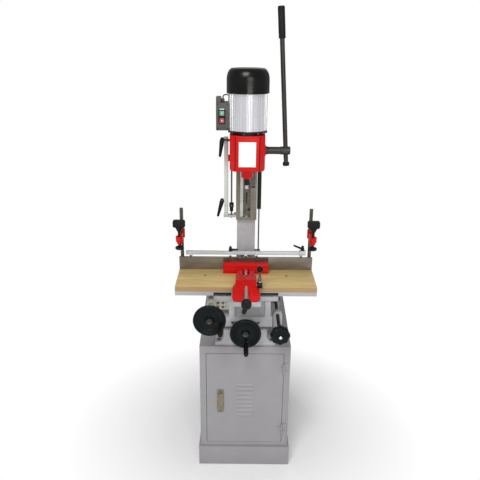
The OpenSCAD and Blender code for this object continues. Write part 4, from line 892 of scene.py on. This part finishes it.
def makeChisel(nose, shank, collars, windowHalf, window, screwHeight, screwRadius, screwReach):
    _, high, centre = boxOf("hollow_chisel")
    noseEnd = high.z - nose
    x, y = centre.x, centre.y
    bm = solidCopy("hollow_chisel")
    for face in bm.faces:
        rise = face.calc_center_median().z - noseEnd
        face.material_index = 0
        for top, bottom, index in collars:
            if bottom < rise < top:
                face.material_index = index
    front = y - shank / 2
    # the chip window: a flat dark slab, painted shade for the opening
    slot = slab((x - windowHalf, front - 0.15, noseEnd + window[1]),
                (x + windowHalf, front + 0.5, noseEnd + window[0]), index=1)
    easeEdges(slot, 2.2, 3, where=lambda e: e.calc_length() < 1)
    parts = [bm, slot] + capHeads([(x + 6.5, y, noseEnd + screwHeight)], (1, 0, 0), screwRadius, screwReach, 1)
    addPiece("hollow_chisel_ground", parts, "oiledGearSteel blackSatinEnamel turnedSteel", "hollow_chisel")


makeChisel(**chiselLook)
print("chisel made")

# Feed lever: hub over the pinion shaft, a long leaning rod, a rubber grip above and a cap below
leverLook = dict(
    place=(151, -75, 1357),  # where the rod crosses the hub
    hub=14.6, collar=16, rodRadius=9, grip=13, gripLength=114, reach=529, lean=3.7, bore=10, boreDepth=53, tail=60
)


def makeFeedLever(place, hub, collar, rodRadius, grip, gripLength, reach, lean, bore, boreDepth, tail):
    low, high, _ = boxOf("feed_lever")
    span = high.x - low.x
    tipped = Vector((-sin(radians(lean)), 0, cos(radians(lean))))
    profile = [(0, boreDepth), (bore, boreDepth), (bore, 0), (collar - 1, 0), (collar, 1), (collar, 6), (hub, 8)]
    profile += [(hub, span - 40), (collar, span - 38), (collar, span - 2), (collar - 2, span), (6, span),
                (5, span - 1.5), (0, span - 1.5)]
    start, inside = reach - gripLength, rodRadius - 0.2
    sleeve = [(inside, start + 1), (inside, start)] + arc((grip - 2.5, start + 2.5), 2.5, -90, 0, 4)
    sleeve += [(grip, start + 9), (grip - 0.7, start + 10), (grip - 0.7, start + 12), (grip, start + 13)]
    sleeve += [(grip, reach - 22)] + arc((grip - 5, reach - 8), (5, 6), 0, 90)
    sleeve += [(inside, reach - 2), (inside, start + 1)]
    cap = [(0, -tail)] + arc((grip - 3, -tail + 3), 3, -90, 0, 4) + arc((grip - 2, -tail + 12), 2, 0, 90, 3)
    upper = [(0, 12), (rodRadius, 12), (rodRadius, reach - 3), (rodRadius - 1, reach - 2), (0, reach - 2)]
    parts = [
        lathe(profile, (low.x, *place[1:]), (1, 0, 0), 48),
        lathe(upper, place, tipped),
        lathe(sleeve, place, tipped, index=1),
        lathe(drum(rodRadius, -tail + 14, -12), place, tipped),
        lathe(cap + [(0, -tail + 14)], place, tipped, index=1),
        hexHead((high.x - 1.8, *place[1:]), (1, 0, 0), 11, 1.6, 0, 10),
    ]
    addPiece("feed_lever_made", parts, "charcoalEnamel blackRubber", "feed_lever")


makeFeedLever(**leverLook)
print("feed lever made")

# Hold-downs: the boss under the knob is lower than the clamp round the post, and the web slopes between
armLook = dict(ease=2.5, bossTop=1012, webTop=1016, frontOf=-100)


def makeArm(side, ease, bossTop, webTop, frontOf):
    node = "hold_down_arm_" + side
    bm = solidCopy(node)
    for vert in bm.verts:
        if vert.co.y < frontOf and vert.co.z > webTop:
            vert.co.z = bossTop
    easeEdges(bm, ease)
    addPiece(node + "_eased", [bm], "redCastEnamel", node)


# Wing knobs: a flat bar over a neck, and the screw that turns the pad down
knobBarLook = dict(
    barHeight=31, barHalf=10, corner=8, easing=3, screw=6, pin=4, pinTop=968,
    neckLow=9.2, neckHigh=15, drop=16  # the neck's radius at its two ends and its height
)


def makeHoldDownKnob(side, barHeight, barHalf, corner, easing, screw, pin, pinTop, neckLow, neckHigh, drop):
    node = "hold_down_knob_" + side
    low, high, centre = boxOf(node)
    x, y = centre.x, centre.y
    barBottom = high.z - barHeight
    neckBottom = barBottom - drop
    bar = slab((low.x, y - barHalf, barBottom), (high.x, y + barHalf, high.z))
    easeEdges(bar, corner, 5, where=lambda e: abs(e.verts[0].co.y - e.verts[1].co.y) > 15)
    easeEdges(bar, easing, 3, angle=60)
    neck = [(0, 0), (neckLow - 0.8, 0), (neckLow, 0.8), (neckHigh, drop - 1), (neckHigh - 1, drop + 0.5)]
    neck = lathe(neck + [(9.6, drop + 3), (0, drop + 3)], (x, y, neckBottom), steps=36)
    shaft = [(0, low.z), (pin - 0.5, low.z), (pin, low.z + 0.5), (pin, pinTop), (screw, pinTop)]
    shaft += [(screw, neckBottom + 2), (0, neckBottom + 2)]
    parts = [bar, neck, lathe(shaft, (x, y, 0), steps=32, index=1)]
    addPiece(node + "_moulded", parts, "blackNylon blackSatinEnamel", node)


rubberPadLook = dict(corner=4, bore=4.3, boreDepth=7.3)


def makePad(side, corner, bore, boreDepth):
    node = "hold_down_pad_" + side
    low, high, centre = boxOf(node)
    outer = (high.x - low.x) / 2
    height = high.z - low.z
    profile = [(0, 0)] + arc((outer - corner, corner), corner, -90, 0)
    profile += arc((outer - corner, height - corner), corner, 0, 90)
    profile += [(bore, height), (bore, height - boreDepth), (0, height - boreDepth)]
    addPiece(node + "_moulded", [lathe(profile, (centre.x, centre.y, low.z), steps=48)], "blackRubber", node)


for side in ("left", "right"):
    makeArm(side, **armLook)
    makeHoldDownKnob(side, **knobBarLook)
    makePad(side, **rubberPadLook)
print("hold-downs made")

# Board: planed faces over darker, warmer sides, which show end and edge grain and painted shade, and two flush
# screws
boardLook = dict(ease=0.8, screwX=167, screwY=-137, screwRadius=6)


def makeBoard(ease, screwX, screwY, screwRadius):
    low, high, _ = boxOf("wood_board")
    bm = slab(low, high, ease)
    # the sides get the darker, warmer pine: end and edge grain, and painted shade
    for face in bm.faces:
        if max(abs(face.normal.x), abs(face.normal.y)) > 0.7:
            face.material_index = 1
    addPiece("wood_board_glued", [bm], "planedPine pineEdge", "wood_board")
    profile = [(0, 0), (screwRadius, 0), (screwRadius - 1.2, 0.5), (2, 0.35), (0, 0.2)]
    screws = [lathe(profile, (x, screwY, high.z - 0.02), steps=28) for x in (-screwX, screwX)]
    addTrim("board_screws", screws, "oiledGearSteel", "wood_board")


makeBoard(**boardLook)
print("board made")

# Vise: cast jaw with its bare iron plate and a bright pin on the neck, screw with a cranked handle, cam
jawLook = dict(
    ease=1.6, front=-118,
    neck=35,  # half the neck's width
    neckY=(-210, -106), neckTop=873.4,
    pocket=(-195, -119),  # the open pocket that bares the screw's seat
    pocketHalf=13, pocketFloor=856, stepTop=875, stepBack=-109, redTop=890, plateThick=5,
    seat=(-169.5, -117), seatHeight=865, seatRadius=8,
    bossY=(-127, -100),  # the boss that holds the seat
    bossHeight=868, bossRadius=13
)


def makeJaw(ease, front, neck, neckY, neckTop, pocket, pocketHalf, pocketFloor, stepTop, stepBack, redTop,
            plateThick, seat, seatHeight, seatRadius, bossY, bossHeight, bossRadius):
    low, high, _ = boxOf("vise_jaw")
    plateFront = high.y - plateThick
    wallFront = pocket[0] - 4
    parts = [
        slab((low.x, front, low.z), (high.x, plateFront, stepTop), ease),
        slab((low.x, stepBack - 1, low.z), (high.x, plateFront, redTop), ease),
        slab((-neck, neckY[0], low.z), (neck, pocket[0], neckTop), ease),
        slab((-neck, wallFront, low.z), (-pocketHalf, neckY[1], neckTop), ease),
        slab((pocketHalf, wallFront, low.z), (neck, neckY[1], neckTop), ease),
        slab((-pocketHalf - 2, wallFront, low.z), (pocketHalf + 2, pocket[1] + 4, pocketFloor)),
        rod((0, bossY[0], bossHeight), (0, bossY[1], bossHeight), bossRadius, 0, 2, 40),
        slab((low.x, plateFront - 0.2, low.z), (high.x, high.y, high.z), 0.5, 1, 1),
        rod((0, seat[0], seatHeight), (0, seat[1], seatHeight), seatRadius, 2),
    ]
    addPiece("vise_jaw_cast", parts, "redCastEnamel oiledGearSteel turnedSteel", "vise_jaw")


makeJaw(**jawLook)

viseScrewLook = dict(
    rodRadius=8, tip=7, tipStart=-210.3, hub=19, hubLength=24,
    grip=(9.5, 8.5),  # radius at its two ends, whose places are X and Z from the hub's middle
    gripFrom=(-2, -12), gripTo=(-8, -31)
)


def makeViseScrew(rodRadius, tip, tipStart, hub, hubLength, grip, gripFrom, gripTo):
    low, high, _ = boxOf("vise_screw")
    z = high.z - hub
    profile = [(0, 0), (hub - 4, 0)] + arc((hub - 3, 3), 3, -70, 0, 4)
    profile += arc((hub - 7, hubLength - 7), 7, 0, 90, 7)
    profile += [(6, hubLength), (5.4, hubLength - 1.5), (0, hubLength - 1.5)]
    run = [(0, low.y + 20), (rodRadius, low.y + 20), (rodRadius, tipStart), (tip, tipStart),
           (tip, high.y - 0.6), (tip - 0.6, high.y), (0, high.y)]
    middle = low.y + hubLength / 2
    parts = [
        lathe(profile, (0, low.y + hubLength, z), forward, 48),
        lathe(run, (0, 0, z), (0, 1, 0), 36, 1),
        taper((gripFrom[0], middle, z + gripFrom[1]), (gripTo[0], middle, z + gripTo[1]), *grip),
    ]
    addPiece("vise_screw_turned", parts, "blackNylon turnedSteel", "vise_screw")


makeViseScrew(**viseScrewLook)

camLook = dict(shaft=6, hub=12, hubX=42, hubLength=21, stem=5, ball=12.5, collar=7)


def makeCamLever(shaft, hub, hubX, hubLength, stem, ball, collar):
    low, high, _ = boxOf("cam_lever")
    place = x, y, z = high.x - ball, high.y - ball, low.z + hub
    profile = [(0, 0), (hub - 1, 0), (hub, 1), (hub, hubLength - 1.5), (hub - 1.5, hubLength), (5, hubLength),
               (0, hubLength - 1)]
    globe = arc((0, 0), ball, -66, 90, 20)
    middle = Vector((x, y, high.z - ball))
    parts = [
        rod((low.x, y, z), (hubX + 2, y, z), shaft, 1),
        lathe(profile, (hubX, y, z), (1, 0, 0)),
        lathe(drum(collar + 2, 8, 14.5), place, steps=32),
        lathe(drum(collar + 1.6, 14, 17), place, steps=32, index=1),
        lathe([(0, 16.5), (collar, 16.5), (collar, 28), (stem, 31), (0, 31)], place, steps=32, index=2),
        rod((x, y, z + 28), (x, y, middle.z - 8), stem, 2),
        lathe([(0, globe[0][1])] + globe, middle, steps=44),
    ]
    addPiece("cam_lever_made", parts, "blackPhenolic brightChrome postSteel", "cam_lever")


makeCamLever(**camLook)
print("vise made")

# Rows of cap screws: the node they sit on, their finish, the way they face, radius, reach and places
headBack, railFront = boxOf("head_casting")[1].y, boxOf("stop_rail")[0].y
scale = boxOf("scale_bar")[0]
screwRows = {
    "gib_screws": ("head_casting", "oiledGearSteel", (-1, 0, 0), 4, 3,
                   [(-66.7, headBack - 9, z) for z in (1393, 1379, 1350, 1336, 1310)]),
    "scale_screws": ("scale_bar", "turnedSteel", forward, 3.2, 2,
                     [(scale.x + 5, scale.y + 0.2, scale.z + z) for z in (8, 40)]),
    "rail_bolts": ("stop_rail", "oiledGearSteel", forward, 4.2, 2.4,
                   [(x, railFront + 0.2, 908.2) for x in (-231, -65, 0, 45, 231)]),
    "bracket_bolts": ("feed_bracket", "oiledGearSteel", forward, 5, 3,
                      [(x, -239.8, z) for z in (757, 775) for x in (-111, -91)]),
}

for name, (node, finish, direction, radius, reach, places) in screwRows.items():
    addTrim(name, capHeads(places, direction, radius, reach), finish, node)
print("rows of screws made:", len(screwRows))

# Stand: nickel latch plate under the handle, and base bolts
latchLook = dict(x=-102, z=322.5, front=-251.5, size=(29, 111), thick=0.9, rivets=(-49, 49))


def makeLatch(x, z, front, size, thick, rivets):
    half, rise = size[0] / 2, size[1] / 2
    plate = slab((x - half, front - thick, z - rise), (x + half, front + 0.2, z + rise))
    easeEdges(plate, 5, 4, where=lambda e: abs(e.verts[0].co.y - e.verts[1].co.y) > 0.5)
    heads = capHeads([(x, front - thick + 0.2, z + up) for up in rivets], forward, 3, 0.8, 1)
    addTrim("latch_plate", [plate] + heads, "satinNickel postSteel", "cabinet_door")


makeLatch(**latchLook)

baseBoltLook = dict(x=108, y=(-228, 40), z=598, across=13, height=8, washer=9)


def makeBaseBolts(x, y, z, across, height, washer):
    places = [(side * x, back) for side in (-1, 1) for back in y]
    heads = [lathe(drum(washer, -0.5, 1.5), (*place, z)) for place in places]
    heads += [hexHead((*place, z + 1.4), upward, across, height, 0, 15) for place in places]
    addTrim("base_bolts", heads, "postSteel", "base_casting")


makeBaseBolts(**baseBoltLook)
print("latch plate and base bolts made")

# Studio: a pale floor that fades into the white ground, an even surround and three soft lamps
studio = dict(
    floorSize=14,  # m, as are all lengths here
    floorColour="#fdfdfd",
    fade=(0.34, 0.82),  # from the middle, where the floor starts and ends turning to plain white
    surround=0.36,  # how much the surround lights the machine
    lamps={  # place, size and power in W
        "keyLamp": ((-0.9, -3.5, 4.5), 2, 138),
        "fillLamp": ((0.7, -3.8, 1.9), 1.6, 34),
        "backLamp": ((0.6, 2.4, 3.2), 2.4, 9)},
    aim=(0, 0, 0.95)
)


def makeStudio(floorSize, floorColour, fade, surround, lamps, aim):
    bm = bmesh.new()
    bmesh.ops.create_grid(bm, x_segments=1, y_segments=1, size=floorSize / 2)
    mesh = meshFrom(bm, "floor")
    tree, place = startMaterial("floorPaper")
    mesh.materials.append(finishes["floorPaper"])
    paper = addNode(tree, "BsdfPrincipled", {"Base Color": floorColour, "Roughness": 0.9})
    ground = addNode(tree, "Emission", {"Color": "#ffffff", "Strength": 1})
    distance = addNode(tree, "VectorMath", {0: place}, operation="LENGTH").outputs["Value"]
    blend = addNode(tree, "MixShader", {
        0: rangeOf(tree, distance, 0, 1, *fade), 1: paper.outputs[0], 2: ground.outputs[0]})
    addNode(tree, "OutputMaterial", {"Surface": blend.outputs[0]})
    addObject("floor", mesh)

    world = bpy.data.worlds.new("surround")
    scene.world = world
    world.use_nodes = True
    tree = world.node_tree
    tree.nodes.clear()
    cameraRay = addNode(tree, "LightPath").outputs["Is Camera Ray"]
    light = addNode(tree, "Background", {
        "Color": "#ffffff", "Strength": rangeOf(tree, cameraRay, surround, 1, 0, 1)})
    addNode(tree, "OutputWorld", {"Surface": light.outputs[0]})

    for name, (place, size, power) in lamps.items():
        data = bpy.data.lights.new(name, "AREA")
        data.energy = power
        data.size = size
        addObject(name, data).matrix_world = Matrix.Translation(place) @ facing(Vector(place) - Vector(aim))


makeStudio(**studio)
scene.view_settings.view_transform = "Standard"
